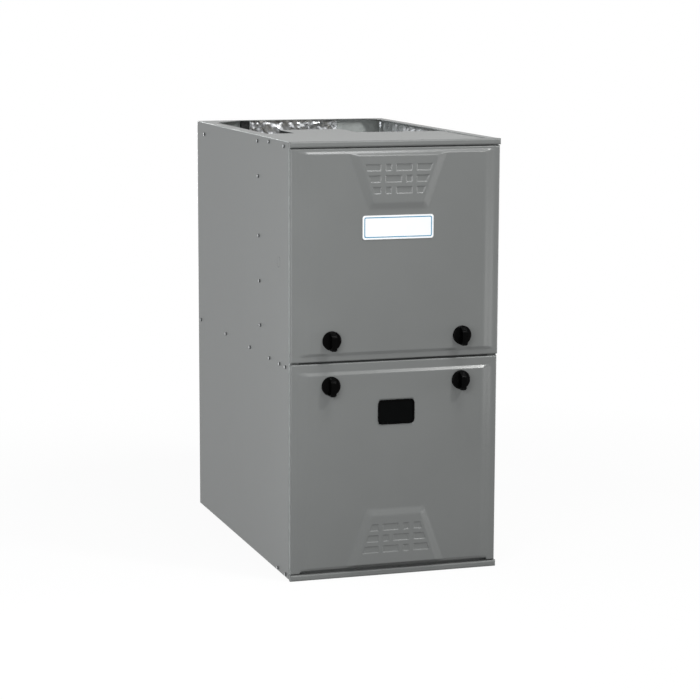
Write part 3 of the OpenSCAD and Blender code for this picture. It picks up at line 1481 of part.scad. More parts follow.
casing_wrap();
top_plate();
base_rail();
bottom_closure();
blower_shelf();
cell_panel();
tie_bar();
air_baffle();
back_liner();
side_liners();
primary_exchanger();
hot_header();
secondary_coil();
collector_box();
burner_box();
burners();
gas_manifold();
gas_valve();
gas_valve_knob();
igniter();
flame_sensor();
limit_switches();
gas_grommet();
inducer_housing();
inducer_motor();
inducer_wheel();
inducer_shaft();
vent_coupling();
vent_pipe();
vent_collar();
intake_collar();
pressure_switch();
pressure_tube();
condensate_trap();
drain_hose();
blower_housing();
blower_wheel();
blower_shaft();
blower_motor();
motor_mount();
capacitor();
control_bracket();
control_board();
transformer();
junction_box();
junction_box_cover();
door_switch();
door_switch_plunger();
wiring();
upper_door();
upper_door_liner();
badge_plate();
lower_door();
lower_door_liner();
sight_glass_frame();
sight_glass_lens();
upper_left_knob();
upper_right_knob();
lower_left_knob();
lower_right_knob();
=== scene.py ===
"""Upflow forced air gas furnace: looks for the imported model.

Every CAD node gets a procedural finish, some get a finer piece in their place, and then come the screws,
the floor, the lights and the camera. x runs across the front, y to the back and z up. The numbers that
shape the pieces are in mm, and MM turns them into metres; the floor, lights and camera are in metres.
"""

import math

import bmesh
import bpy
import numpy as np
from mathutils import Matrix, Vector


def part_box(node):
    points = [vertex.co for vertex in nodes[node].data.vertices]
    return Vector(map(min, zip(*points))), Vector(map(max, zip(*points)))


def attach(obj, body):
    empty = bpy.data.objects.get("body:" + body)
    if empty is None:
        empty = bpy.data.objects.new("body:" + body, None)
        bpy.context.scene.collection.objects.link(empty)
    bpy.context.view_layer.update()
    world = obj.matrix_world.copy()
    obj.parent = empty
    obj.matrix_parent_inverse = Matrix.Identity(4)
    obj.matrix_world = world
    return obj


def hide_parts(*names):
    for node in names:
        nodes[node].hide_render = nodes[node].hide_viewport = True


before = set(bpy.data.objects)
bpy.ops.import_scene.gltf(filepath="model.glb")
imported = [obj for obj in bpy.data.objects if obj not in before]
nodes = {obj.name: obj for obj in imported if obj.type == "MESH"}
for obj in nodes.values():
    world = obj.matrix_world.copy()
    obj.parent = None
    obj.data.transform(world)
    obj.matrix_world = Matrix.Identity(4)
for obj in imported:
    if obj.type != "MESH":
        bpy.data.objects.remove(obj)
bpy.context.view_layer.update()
MM = 0.001


# ---------- materials ----------
COAT_ROUGH = 0.12
LEAST_ROUGH = 0.03
TONE_DETAIL = 4.0
TONE_BAND = (0.3, 0.7)
FULL_BAND = (0.0, 1.0)
BUMP_DETAIL = 3.0
BUMP_DISTANCE = 0.0008
SPANGLE_SCALE = 90.0


def srgb(r, g, b):
    """A colour written in 0..255 screen values, as the linear values that shaders take."""
    out = []
    for c in (r, g, b):
        c /= 255.0
        out.append(c / 12.92 if c <= 0.04045 else ((c + 0.055) / 1.055) ** 2.4)
    return (*out, 1.0)


def add_node(tree, kind, **inputs):
    """A new shader node with the given inputs; an underscore in an input's name stands for a space."""
    node = tree.nodes.new("ShaderNode" + kind)
    for name, value in inputs.items():
        node.inputs[name.replace("_", " ")].default_value = value
    return node


def add_tones(tree, value, dark, light, band):
    """A ramp from the dark to the light tone over a band of the pattern's value."""
    ramp = add_node(tree, "ValToRGB")
    stops = ramp.color_ramp.elements
    stops[0].position, stops[1].position = band
    stops[0].color, stops[1].color = dark, light
    tree.links.new(value, ramp.inputs["Fac"])
    return ramp


def material(name, dark, light, rough, metal=0.0, scale=40.0, bump=0.0, bump_scale=700.0,
             rough_spread=0.0, coat=0.0, pattern="noise", stretch=(1, 1, 1), shine=0.5):
    """A procedural finish: two close tones mixed by a pattern, with bump and uneven gloss."""
    finish = bpy.data.materials.new(name)
    finish.use_nodes = True
    tree = finish.node_tree
    link = tree.links.new
    shader = tree.nodes["Principled BSDF"]
    shader.inputs["Metallic"].default_value = metal
    shader.inputs["Roughness"].default_value = rough
    shader.inputs["Specular IOR Level"].default_value = shine
    if coat:
        shader.inputs["Coat Weight"].default_value = coat
        shader.inputs["Coat Roughness"].default_value = COAT_ROUGH
    where = add_node(tree, "TexCoord")
    place = add_node(tree, "Mapping", Scale=stretch)
    link(where.outputs["Object"], place.inputs["Vector"])
    if pattern == "cells":
        texture = add_node(tree, "TexVoronoi", Scale=scale)
        value = texture.outputs["Color"]
    else:
        texture = add_node(tree, "TexNoise", Scale=scale, Detail=TONE_DETAIL)
        value = texture.outputs["Fac"]
    link(place.outputs["Vector"], texture.inputs["Vector"])
    tones = add_tones(tree, value, dark, light, TONE_BAND)
    link(tones.outputs["Color"], shader.inputs["Base Color"])
    if rough_spread:
        gloss = add_node(tree, "MapRange", To_Min=max(rough - rough_spread, LEAST_ROUGH),
                         To_Max=rough + rough_spread)
        link(value, gloss.inputs["Value"])
        link(gloss.outputs["Result"], shader.inputs["Roughness"])
    if bump:
        fine = add_node(tree, "TexNoise", Scale=bump_scale, Detail=BUMP_DETAIL)
        link(place.outputs["Vector"], fine.inputs["Vector"])
        relief = add_node(tree, "Bump", Strength=bump, Distance=BUMP_DISTANCE)
        link(fine.outputs["Fac"], relief.inputs["Height"])
        link(relief.outputs["Normal"], shader.inputs["Normal"])
    return finish


def lightened_bare_inside(finish, low, high, dark, light):
    """Show bare sheet where a point lies inside the box low..high, in metres; its tones are lighter than
    bare sheet, as painted light where the lamps don't reach in.
    """
    tree = finish.node_tree
    link = tree.links.new
    shader = tree.nodes["Principled BSDF"]
    painted = shader.inputs["Base Color"].links[0].from_socket
    where = add_node(tree, "TexCoord")
    split = add_node(tree, "SeparateXYZ")
    link(where.outputs["Object"], split.inputs[0])
    mask = None
    for axis in range(3):
        for limit, operation in ((low[axis], "GREATER_THAN"), (high[axis], "LESS_THAN")):
            test = add_node(tree, "Math")
            test.operation = operation
            test.inputs[1].default_value = limit
            link(split.outputs[axis], test.inputs[0])
            if mask is None:
                mask = test.outputs[0]
                continue
            both = add_node(tree, "Math")
            both.operation = "MULTIPLY"
            link(mask, both.inputs[0])
            link(test.outputs[0], both.inputs[1])
            mask = both.outputs[0]
    cells = add_node(tree, "TexVoronoi", Scale=SPANGLE_SCALE)
    link(where.outputs["Object"], cells.inputs["Vector"])
    tones = add_tones(tree, cells.outputs["Color"], dark, light, FULL_BAND)
    pick = add_node(tree, "Mix")
    pick.data_type = "RGBA"
    link(mask, pick.inputs["Factor"])
    link(painted, pick.inputs["A"])
    link(tones.outputs["Color"], pick.inputs["B"])
    link(pick.outputs["Result"], shader.inputs["Base Color"])


def paint(name, rough):
    """The cabinet's grey powder coat: glossier on the doors than on the casing."""
    return material(name, srgb(114, 116, 115), srgb(118, 120, 119), rough, scale=5.0, bump=0.07,
                    bump_scale=420.0, rough_spread=0.02, shine=0.35)


PAINT = paint("grey_powder_coat", 0.22)
# the tie bar behind the door seam is coloured dark: painted shade that darkens the gap between the doors
SEAM_SHADE_GREY = material("seam_painted_shade", srgb(52, 53, 53), srgb(58, 59, 59), 0.5,
                    scale=9.0, bump=0.08, bump_scale=500.0)
GALV = material("zinc_spangle", srgb(150, 153, 155), srgb(188, 191, 193), 0.42, metal=0.85,
                scale=110.0, pattern="cells", rough_spread=0.08, bump=0.05)
STEEL = material("shaft_steel", srgb(150, 151, 153), srgb(176, 177, 180), 0.3, metal=1.0,
                 scale=220.0, stretch=(1, 1, 8), bump=0.04)
TUBE = material("aluminised_tube", srgb(138, 134, 128), srgb(176, 172, 164), 0.42, metal=0.9,
                scale=22.0, bump=0.12, bump_scale=260.0, rough_spread=0.08)
FOIL = material("crinkled_foil", srgb(186, 188, 190), srgb(222, 224, 226), 0.3, metal=0.94,
                scale=60.0, bump=0.6, bump_scale=130.0, rough_spread=0.08)
# a dark sheet that stands for the shade beside the back foil: painted shade
SHADE_STRIP = material("shade_strip_dark", srgb(44, 44, 45), srgb(66, 66, 67), 0.9, scale=240.0, bump=0.5,
                 bump_scale=420.0, shine=0.1)
BLACK = material("black_moulding", srgb(26, 26, 28), srgb(36, 36, 38), 0.5,
                 scale=300.0, bump=0.18, bump_scale=900.0)
KNOB = material("knob_black", srgb(2, 2, 2), srgb(4, 4, 4), 0.24,
                scale=200.0, bump=0.06, bump_scale=900.0, shine=0.03)
RUBBER = material("rubber", srgb(24, 24, 25), srgb(33, 33, 34), 0.72,
                  scale=160.0, bump=0.2, bump_scale=1100.0)
ALLOY = material("die_cast", srgb(148, 150, 152), srgb(172, 174, 176), 0.48, metal=0.75,
                 scale=80.0, bump=0.35, bump_scale=900.0)
RED = material("red_moulding", srgb(150, 26, 20), srgb(168, 34, 28), 0.3, scale=120.0, bump=0.05)
CERAMIC = material("ceramic", srgb(214, 208, 194), srgb(232, 227, 214), 0.55, scale=150.0, bump=0.2)
ENAMEL = material("motor_enamel", srgb(44, 46, 50), srgb(58, 60, 64), 0.36,
                  scale=60.0, bump=0.2, bump_scale=800.0, rough_spread=0.05)
PIPE = material("white_pipe", srgb(222, 222, 217), srgb(232, 232, 228), 0.28, scale=30.0, bump=0.03)
CAN = material("drawn_can", srgb(176, 178, 180), srgb(204, 206, 208), 0.3, metal=0.9,
               scale=120.0, stretch=(6, 6, 1), bump=0.05)
BOARD = material("circuit_board", srgb(16, 74, 40), srgb(26, 96, 54), 0.34, scale=90.0,
                 pattern="cells", bump=0.15, bump_scale=380.0)
WHITE = material("name_plate_white", srgb(251, 253, 255), srgb(253, 254, 255), 0.25,
                 scale=40.0, bump=0.02, coat=1.0)
BLUE = material("name_plate_border", srgb(28, 128, 168), srgb(40, 140, 178), 0.3, scale=60.0, bump=0.02)
GLASS = material("smoked_window", srgb(4, 5, 5), srgb(6, 7, 7), 0.1, scale=50.0, bump=0.02, shine=0.03)
SCREW = material("screw_zinc", srgb(176, 178, 180), srgb(198, 200, 202), 0.22, metal=0.95,
                 scale=400.0, bump=0.05)
# dark flanks on the screw heads: painted shade beside each head's bright face
SCREW_FLANK_SHADE = material("screw_flank_painted_shade", srgb(58, 60, 60), srgb(74, 76, 76), 0.45, metal=0.3,
                       scale=400.0, bump=0.05)
WIRE = material("wire_loom", srgb(22, 22, 24), srgb(38, 38, 42), 0.5, scale=500.0, bump=0.4,
                bump_scale=500.0)
TOP = paint("top_coat", 0.4)
# the casing is one folded sheet, painted outside and bare inside; the bare inside is made lighter than it
# is, as painted light where the lamps don't reach in
CASING = paint("casing_coat", 0.4)
SKIN = 0.6 * MM
case_low, case_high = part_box("casing_wrap")
lightened_bare_inside(CASING, [v + SKIN for v in case_low], [v - SKIN for v in case_high],
            srgb(168, 173, 171), srgb(186, 191, 189))

FINISH = {
    CASING: "casing_wrap",
    PAINT: "upper_door lower_door",
    TOP: "top_plate base_rail air_baffle",
    SEAM_SHADE_GREY: "tie_bar",
    GALV: "bottom_closure blower_shelf cell_panel burner_box blower_housing blower_wheel control_bracket "
          "junction_box junction_box_cover secondary_coil",
    STEEL: "inducer_wheel inducer_shaft blower_shaft gas_manifold",
    FOIL: "back_liner side_liners upper_door_liner lower_door_liner",
    TUBE: "primary_exchanger hot_header burners",
    BLACK: "collector_box inducer_housing vent_collar intake_collar condensate_trap door_switch "
           "pressure_switch limit_switches",
    RUBBER: "vent_coupling pressure_tube drain_hose gas_grommet",
    WIRE: "wiring",
    ALLOY: "gas_valve",
    RED: "gas_valve_knob",
    CERAMIC: "igniter flame_sensor",
    ENAMEL: "inducer_motor blower_motor motor_mount transformer",
    PIPE: "vent_pipe door_switch_plunger",
    CAN: "capacitor",
    BOARD: "control_board",
    WHITE: "badge_plate",
    KNOB: "upper_left_knob upper_right_knob lower_left_knob lower_right_knob sight_glass_frame",
    GLASS: "sight_glass_lens",
}
for finish, names in FINISH.items():
    for name in names.split():
        slots = nodes[name].data.materials
        slots.clear()
        slots.append(finish)


# ---------- mesh helpers ----------
def add_object(name, data):
    """A new object with this data, in the scene."""
    o = bpy.data.objects.new(name, data)
    bpy.context.scene.collection.objects.link(o)
    return o


def shade(mesh, sharp_angle):
    """Smooth shading, with edges over the given angle in degrees left sharp."""
    mesh.shade_smooth()
    mesh.set_sharp_from_angle(angle=math.radians(sharp_angle))


def mesh_object(name, verts, faces, finish, body, sharp_angle=None):
    """A piece made from vertices in metres, riding on a body."""
    mesh = bpy.data.meshes.new(name)
    mesh.from_pydata([tuple(v) for v in verts], [], faces)
    mesh.update()
    o = add_object(name, mesh)
    mesh.materials.append(finish)
    if sharp_angle is not None:
        shade(mesh, sharp_angle)
    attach(o, body)
    return o


def soft_step(t):
    """0 to 1 with rounded ends, for the walls of the bricks."""
    t = np.clip(t, 0.0, 1.0)
    return t * t * (3.0 - 2.0 * t)


def rounded_min(a, b, amount):
    """The lower of two heights in 0..1, with the ridge between them rounded off."""
    low = np.minimum(a, b)
    k = np.maximum(amount * 4.0 * low * (1.0 - low), 1e-6)
    h = np.clip(0.5 + 0.5 * (b - a) / k, 0.0, 1.0)
    return b * (1.0 - h) + a * h - k * h * (1.0 - h)


def eased(d, width, round_by):
    """Rise from 0 at d = 0 to 1 at d = width: straight, with both ends rounded."""
    low, high = -round_by / 2, width + round_by / 2
    s = np.clip(d, low, high) - low
    total = high - low
    r = min(round_by, total / 2)
    slope = 1.0 / (total - r)
    out = np.where(s < r, 0.5 * slope * s * s / r, 0.0)
    out = np.where((s >= r) & (s < total - r), slope * (s - r / 2), out)
    e = total - s
    return np.where(s >= total - r, 1.0 - 0.5 * slope * e * e / r, out)


# ---------- pressed doors ----------
# A door is drawn flat: x across it, v away from the seam between the two doors, z towards the room.
# Round a raised field runs a flat border; at the end far from the seam a plateau with bricks stands on
# the field, wide at the far end and narrow towards the seam.
DOOR = dict(
    # the pan: width, depth of its flange, radius of its edge
    w=439.0, depth=9.0, bend=3.0,
    # the field's rise, the borders at the sides and far end, and the slopes with their rounding
    rise=4.5, side=11.0, side_slope=22.0, side_round=9.0,
    far=4.5, far_slope=5.5, seam_slope=6.0, end_round=3.0,
    # the plateau's rise, then the half widths of its foot and of its flat top, at its far end and at its
    # near end, and how far from the door's far edge these two ends lie
    plateau=5.0, foot_wide=103.0, foot_narrow=63.0, foot_far=10.0, foot_near=121.0,
    top_wide=84.0, top_narrow=52.0, top_far=14.5, top_near=109.0,
    # its slopes with their rounding, and how far the far one is moved towards the edge
    p_side=16.0, p_side_round=5.0, p_far=4.5, p_far_round=2.5, p_far_shift=0.0,
    p_near=12.0, p_near_round=5.0,
    # depth of the bricks, and how far the side borders reach past the far end
    brick=2.0, stand=0.0)
# the lower door slopes down right to its edge, and its two side borders reach down to the rail
LOW_DOOR = dict(DOOR, far=0.8, far_slope=6.2, p_far_shift=3.2, brick=1.5, stand=4.3)
# how much the ridge between two slopes is rounded, and the least width of the plateau's side slopes
RIDGE, LEAST_SLOPE = 0.7, 4.0
# bricks: height and pitch of the rows, lengths of the two middle ones, gap between bricks, the first row's
# distance from the far edge, the margin to the plateau's edge and the width of the bricks' walls
BRICK = dict(rows=3, h=12.8, pitch=22.8, short=12.0, long=33.0, gap=10.5, first=38.0, margin=7.0, edge=1.1)
# steps round the pan's edge, from the flat border to the flange
EDGE_ARC = [math.radians(a) for a in (22.5, 45, 67.5, 90)]
KNOB_X, KNOB_HOLE_R = 139.0, 8.0
WINDOW_HALF = (37.0, 23.0)
# a border is stretched this near the side edge and the far end; the stretch sets in over the blend
STAND_W, STAND_BLEND = 19.0, 3.0
REACH_FROM, REACH_BLEND = 4.5, 1.5
SHEET_T = 1.0
TAB_X, TAB_HALF = 90.0, 17.0
TAB_Z = (-12.0, 2.0)
BOX_FACES = ((0, 1, 3, 2), (4, 6, 7, 5), (0, 4, 5, 1), (2, 3, 7, 6), (0, 2, 6, 4), (1, 5, 7, 3))


def plateau_half(v, h, level):
    """Half the width of the plateau at v, at the level of its foot or of its flat top."""
    near, far = h - DOOR[level + "_near"], h - DOOR[level + "_far"]
    narrow, wide = DOOR[level + "_narrow"], DOOR[level + "_wide"]
    return narrow + (wide - narrow) * (v - near) / (far - near)


def brick_field(x, v, h):
    """1 inside the pressed bricks, 0 outside, with soft edges."""
    out = np.zeros_like(x)
    b = BRICK
    mid = (b["short"] + b["gap"] + b["long"]) / 2
    ax = np.abs(x)
    for row in range(b["rows"]):
        centre = h - b["first"] - row * b["pitch"]
        dv = b["h"] / 2 - np.abs(v - centre)
        # the short and the long brick in the middle change places from row to row
        split = -mid + (b["long"] if row == 1 else b["short"])
        across = [np.minimum(x - low, high - x) for low, high in ((-mid, split), (split + b["gap"], mid))]
        outer = plateau_half(v, h, "top") - b["margin"] - ax
        across.append(np.minimum(ax - mid - b["gap"], outer))
        for dx in across:
            out = np.maximum(out, soft_step(np.minimum(dv, dx) / b["edge"] * 0.5 + 0.5))
    return out


def door_height(x, v, h, seam_border, d):
    """Height of the pressing over the flat border, v measured away from the seam."""
    ax = np.abs(x)
    across = eased(d["w"] / 2 - d["side"] - ax, d["side_slope"], d["side_round"])
    far = eased(h - d["far"] - v, d["far_slope"], d["end_round"])
    seam = eased(v - seam_border, d["seam_slope"], d["end_round"])
    field = d["rise"] * rounded_min(across, np.minimum(far, seam), RIDGE)
    foot = plateau_half(v, h, "foot")
    slope = np.maximum(foot - plateau_half(v, h, "top"), LEAST_SLOPE)
    side = eased(np.clip((foot - ax) / slope, -1, 2) * d["p_side"], d["p_side"], d["p_side_round"])
    p_end = h - d["far"] - d["far_slope"] + d["p_far_shift"]
    p_far = eased(p_end - v, d["p_far"], d["p_far_round"])
    p_near = eased(v - h + d["foot_near"], d["p_near"], d["p_near_round"])
    plateau = d["plateau"] * rounded_min(side, np.minimum(p_far, p_near), RIDGE)
    return field + plateau - d["brick"] * brick_field(x, v, h)


def axis_lines(knots):
    """Grid lines between knots: each knot is (position, step up to the next one)."""
    out = []
    for (a, step), (b, _) in zip(knots[:-1], knots[1:]):
        n = max(1, int(math.ceil((b - a) / step)))
        out += [a + (b - a) * i / n for i in range(n)]
    return np.array(out + [knots[-1][0]])


def rolled_edge(end, r, depth):
    """Grid lines round the edge of the pan: each is (position, drop below the border)."""
    return [(end - r + r * math.sin(a), r - r * math.cos(a)) for a in EDGE_ARC] + [(end, depth)]


def door_grid(h, seam_border, d):
    """Grid lines across and along a door, each with its drop below the border."""
    hw, r, depth = d["w"] / 2, d["bend"], d["depth"]
    slope_foot = hw - d["side"]
    # fine steps over the bricks and the slopes, wide ones over flat sheet
    across = axis_lines([(0.0, 1.1), (106.0, 6.0), (slope_foot - d["side_slope"] - 6, 1.1),
                         (slope_foot + 5, 1.6), (hw - r, 1.0)])
    along = axis_lines([(r, 1.0), (seam_border - 3, 0.8), (seam_border + 10, 6.0), (h - 125, 2.0),
                        (h - 106, 2.0), (h - 94, 0.9), (h - 24, 2.0), (h - 18, 0.8), (h - r, 1.0)])
    right = [(x, 0.0) for x in across] + rolled_edge(hw, r, depth)
    left = [(-x, drop) for x, drop in reversed(right[1:])]
    far = rolled_edge(h, r, depth)
    near = [(h - v, drop) for v, drop in reversed(far)]
    return np.array(left + right), np.array(near + [(v, 0.0) for v in along] + far)


def door_tabs(name, h, place, body):
    """Two flat tabs that hook into the rail."""
    verts, faces = [], []
    for s in (-1, 1):
        first = len(verts)
        for x in (s * TAB_X - TAB_HALF, s * TAB_X + TAB_HALF):
            for v in (h - SHEET_T, h):
                for z in TAB_Z:
                    verts.append(place @ Vector((x, v, z)) * MM)
        faces += [tuple(first + k for k in q) for q in BOX_FACES]
    tabs = mesh_object(name, verts, faces, PAINT, body)


def build_door(name, h, seam_border, knob_v, window_v, place, body, reach, top_reach, d):
    """One pressed door, with holes for its knobs and window.

    The border of the side that reach is signed for gets wider by reach, and the far end by top_reach.
    """
    hw, r = d["w"] / 2, d["bend"]
    x_lines, v_lines = door_grid(h, seam_border, d)
    gx, gv = np.meshgrid(x_lines[:, 0], v_lines[:, 0])
    drop = np.maximum(x_lines[None, :, 1], v_lines[:, None, 1])
    gz = d["depth"] + door_height(gx, gv, h, seam_border, d) - drop
    cell_x = (x_lines[:-1, 0] + x_lines[1:, 0])[None, :] / 2
    cell_v = (v_lines[:-1, 0] + v_lines[1:, 0])[:, None] / 2
    opened = np.hypot(np.abs(cell_x) - KNOB_X, cell_v - knob_v) < KNOB_HOLE_R
    if window_v:
        opened |= (np.abs(cell_x) < WINDOW_HALF[0]) & (np.abs(cell_v - window_v) < WINDOW_HALF[1])
    side = math.copysign(1.0, reach)
    gx = gx + reach * np.clip((gx * side - hw + d["side"]) / (d["side"] - r), 0, 1)
    at_border = np.clip((np.abs(gx) - hw + STAND_W) / STAND_BLEND, 0, 1)
    gv = gv + (top_reach + d["stand"] * at_border) * np.clip((gv - h + REACH_FROM) / REACH_BLEND, 0, 1)
    nx = len(x_lines)
    corners = [int(j) * nx + int(i) for j, i in zip(*np.nonzero(~opened))]
    faces = [(a, a + 1, a + nx + 1, a + nx) for a in corners]
    points = np.stack([gx.ravel(), gv.ravel(), gz.ravel()], 1)
    verts = [place @ Vector(p) * MM for p in points]
    door = mesh_object(name, verts, faces, PAINT, body, sharp_angle=48)
    sheet = door.modifiers.new("sheet", "SOLIDIFY")
    sheet.thickness = SHEET_T * MM
    sheet.offset = -1.0
    sheet.use_even_offset = True
    door_tabs(name + "_tabs", h, place, body)
    return door


def height_of(node):
    """Height of a node's middle over the floor, in mm."""
    low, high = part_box(node)
    return (low.z + high.z) / 2 / MM


# the doors' rear edges and height; the upper one's lower edge, sideways place and knobs; the lower one's
# upper edge and knobs
REAR_Y, DOOR_H = -369.3, 425.75
UPPER_Z0, UPPER_X, UPPER_KNOB_Z = 447.75, 1.5, 491.0
LOWER_Z1, LOWER_KNOB_Z = 444.25, 399.0
stand_up = Matrix.Rotation(math.pi / 2, 4, "X")
upper = Matrix.Translation((UPPER_X, REAR_Y, UPPER_Z0)) @ stand_up
lower = Matrix.Translation((0, REAR_Y, LOWER_Z1)) @ stand_up @ Matrix.Rotation(math.pi, 4, "Z")
upper_pressing = build_door("upper_door_pressing", DOOR_H, seam_border=11.5,
                            knob_v=UPPER_KNOB_Z - UPPER_Z0, window_v=None, place=upper,
                            body="upper_door", reach=-3.5, top_reach=1.2, d=DOOR)
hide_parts("upper_door")
lower_pressing = build_door("lower_door_pressing", DOOR_H, seam_border=17.5,
                            knob_v=LOWER_Z1 - LOWER_KNOB_Z,
                            window_v=LOWER_Z1 - height_of("sight_glass_frame"), place=lower,
                            body="lower_door", reach=2.0, top_reach=0.0, d=LOW_DOOR)
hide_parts("lower_door")


# ---------- copies of moulded and cast nodes, with their edges rounded ----------
# edges sharper than ROUND_FROM degrees are rounded, and shading breaks over SHARP_FROM degrees
ROUND_STEPS, ROUND_FROM, SHARP_FROM = 3, 25, 50


def rounded_copy(node, body, finish, width, regions=()):
    """A copy of a CAD node whose sharp edges carry a small rounding that catches the light.

    Each region is (finish, x0, x1, z0, z1, y0, y1) in mm: faces whose middle is inside take that finish.
    """
    bm = bmesh.new()
    bm.from_mesh(nodes[node].data)
    bmesh.ops.remove_doubles(bm, verts=bm.verts, dist=0.01 * MM)
    bmesh.ops.dissolve_limit(bm, angle_limit=math.radians(1.0), verts=bm.verts, edges=bm.edges)
    mesh = bpy.data.meshes.new(node + "_rounded")
    bm.to_mesh(mesh)
    bm.free()
    mesh.materials.clear()
    mesh.materials.append(finish)
    for extra, x0, x1, z0, z1, y0, y1 in regions:
        if extra.name not in mesh.materials:
            mesh.materials.append(extra)
        for face in mesh.polygons:
            c = face.center / MM
            if x0 < c.x < x1 and z0 < c.z < z1 and y0 < c.y < y1:
                face.material_index = mesh.materials.find(extra.name)
    o = add_object(node + "_rounded", mesh)
    rounding = o.modifiers.new("rounding", "BEVEL")
    rounding.width = width * MM
    rounding.segments = ROUND_STEPS
    rounding.limit_method = "ANGLE"
    rounding.angle_limit = math.radians(ROUND_FROM)
    rounding.harden_normals = True
    shade(mesh, SHARP_FROM)
    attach(o, body)
    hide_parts(node)


for knob in ("upper_left_knob", "upper_right_knob", "lower_left_knob", "lower_right_knob"):
    rounded_copy(knob, knob, KNOB, 0.7)

board_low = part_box("control_board")[0] / MM
# from just before the parts' faces to just short of the board's own face
PART_Y = (board_low.y - 1, board_low.y + 16.2)


def board_part(finish, x, z, w, h):
    """Region of one part on the board; x and z are its corner, from the board's lower left corner."""
    return (finish, board_low.x + x, board_low.x + x + w, board_low.z + z, board_low.z + z + h, *PART_Y)


RELAYS = [board_part(BLACK, 13 + 24 * i, 88, 20, 22) for i in range(3)]
BLADES = [board_part(CERAMIC, 131, 19 + 17 * i, 12, 12) for i in range(5)]
PARTS = [board_part(PIPE, 9, 7, 70, 13),
         board_part(BLACK, 91, 15, 32, 16),
         board_part(BLACK, 43, 45, 20, 20),
         board_part(ENAMEL, 88, 58, 16, 16),
         board_part(CAN, 20, 48, 12, 12)]
rounded_copy("control_board", "cabinet", BOARD, 0.4, RELAYS + BLADES + PARTS)
rounded_copy("sight_glass_frame", "lower_door", KNOB, 0.5)
rounded_copy("gas_valve", "cabinet", ALLOY, 0.8)


# ---------- casing screws ----------
WALL_X = 222.5
# (radius, distance from the wall) of a head's rings, from the flange up
SCREW_RINGS = [(4.2, 0.0), (4.2, 0.5), (3.3, 0.8), (3.1, 2.4), (1.9, 3.0)]
SCREW_SIDES = 12
SCREW_DISH = 2.6
# faces nearer the wall than this take the dark flank finish, which is painted shade
FLANK_TOP = 2.35
# (y, z) of the screws, the same on both walls
SCREWS = [(343, 436), (120, 436), (-78, 436), (-228, 436), (-303, 436), (-345, 436),
          (-142, 876), (-146, 804), (-150, 681), (-154, 587), (-159, 495),
          (301, 863), (-228, 880), (-336, 878), (-345, 8), (-288, 8)]


def screw_heads(name, spots, body):
    """Low flanged heads on the side walls, their flanks dark as painted shade; each spot is (side, y, z).
    """
    verts, faces = [], []
    n = SCREW_SIDES
    for side, y, z in spots:
        base = len(verts)
        for r, out in SCREW_RINGS:
            for k in range(n):
                a = 2 * math.pi * k / n
                point = (side * (WALL_X + out), y + r * math.cos(a), z + r * math.sin(a))
                verts.append(Vector(point) * MM)
        top = len(verts)
        verts.append(Vector((side * (WALL_X + SCREW_DISH), y, z)) * MM)
        quads = []
        for ring in range(len(SCREW_RINGS) - 1):
            for k in range(n):
                a, b = base + ring * n + k, base + ring * n + (k + 1) % n
                quads.append((a, b, b + n, a + n))
        last = base + (len(SCREW_RINGS) - 1) * n
        quads += [(last + k, last + (k + 1) % n, top) for k in range(n)]
        faces += [q if side > 0 else q[::-1] for q in quads]
    o = mesh_object(name, verts, faces, SCREW, body, sharp_angle=40)
    o.data.materials.append(SCREW_FLANK_SHADE)
    for face in o.data.polygons:
        if abs(face.center.x) < (WALL_X + FLANK_TOP) * MM:
            face.material_index = 1


screw_heads("casing_screws", [(s, y, z) for s in (-1, 1) for y, z in SCREWS], "cabinet")


# ---------- name plate border ----------
BORDER_INSET, BORDER_W, BORDER_PROUD = 3.5, 1.8, 0.12
BORDER_R_OUT, BORDER_R_IN = 3.5, 2.2


def rounded_loop(w, h, r, steps=8):
    """Points round a rectangle with rounded corners."""
    points = []
    for cx, cz, start in ((w / 2 - r, h / 2 - r, 0), (-w / 2 + r, h / 2 - r, 90),
                          (-w / 2 + r, -h / 2 + r, 180), (w / 2 - r, -h / 2 + r, 270)):
        for k in range(steps + 1):
            a = math.radians(start + 90 * k / steps)
            points.append((cx + r * math.cos(a), cz + r * math.sin(a)))
    return points


def plate_border(plate, body):
    """The thin plain line inside the edge of the bare name plate."""
    low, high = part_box(plate)
    mid_x, mid_z = (low.x + high.x) / 2, (low.z + high.z) / 2
    w, h = (high.x - low.x) / MM - 2 * BORDER_INSET, (high.z - low.z) / MM - 2 * BORDER_INSET
    outer = rounded_loop(w, h, BORDER_R_OUT)
    inner = rounded_loop(w - 2 * BORDER_W, h - 2 * BORDER_W, BORDER_R_IN)
    verts = []
    for proud in (0.0, BORDER_PROUD):
        verts += [(mid_x + x * MM, low.y - proud * MM, mid_z + z * MM) for x, z in outer + inner]
    n = len(outer)
    faces = []
    for k in range(n):
        j = (k + 1) % n
        faces.append((3 * n + k, 3 * n + j, 2 * n + j, 2 * n + k))
        faces.append((2 * n + k, 2 * n + j, j, k))
        faces.append((n + k, n + j, 3 * n + j, 3 * n + k))
    border = mesh_object("name_plate_border", verts, faces, BLUE, body)


plate_border("badge_plate", "upper_door")


# ---------- foil-faced insulation ----------
NOISE_SIZE = 97
SLAB_T = 12.0
# how far a slow noise shifts the creases, and the size of its cells
SKEW, SKEW_CELL = 9.0, 33.0
# (weight, cell size in mm) of the creases, from large to small
CREASES = ((0.55, 17.0), (0.35, 8.0), (0.2, 4.6))
# creases start at the sheet's edge with this share of their depth, and gain all of it per EDGE_RUN mm
EDGE_SHARE, EDGE_RUN = 0.3, 6.0


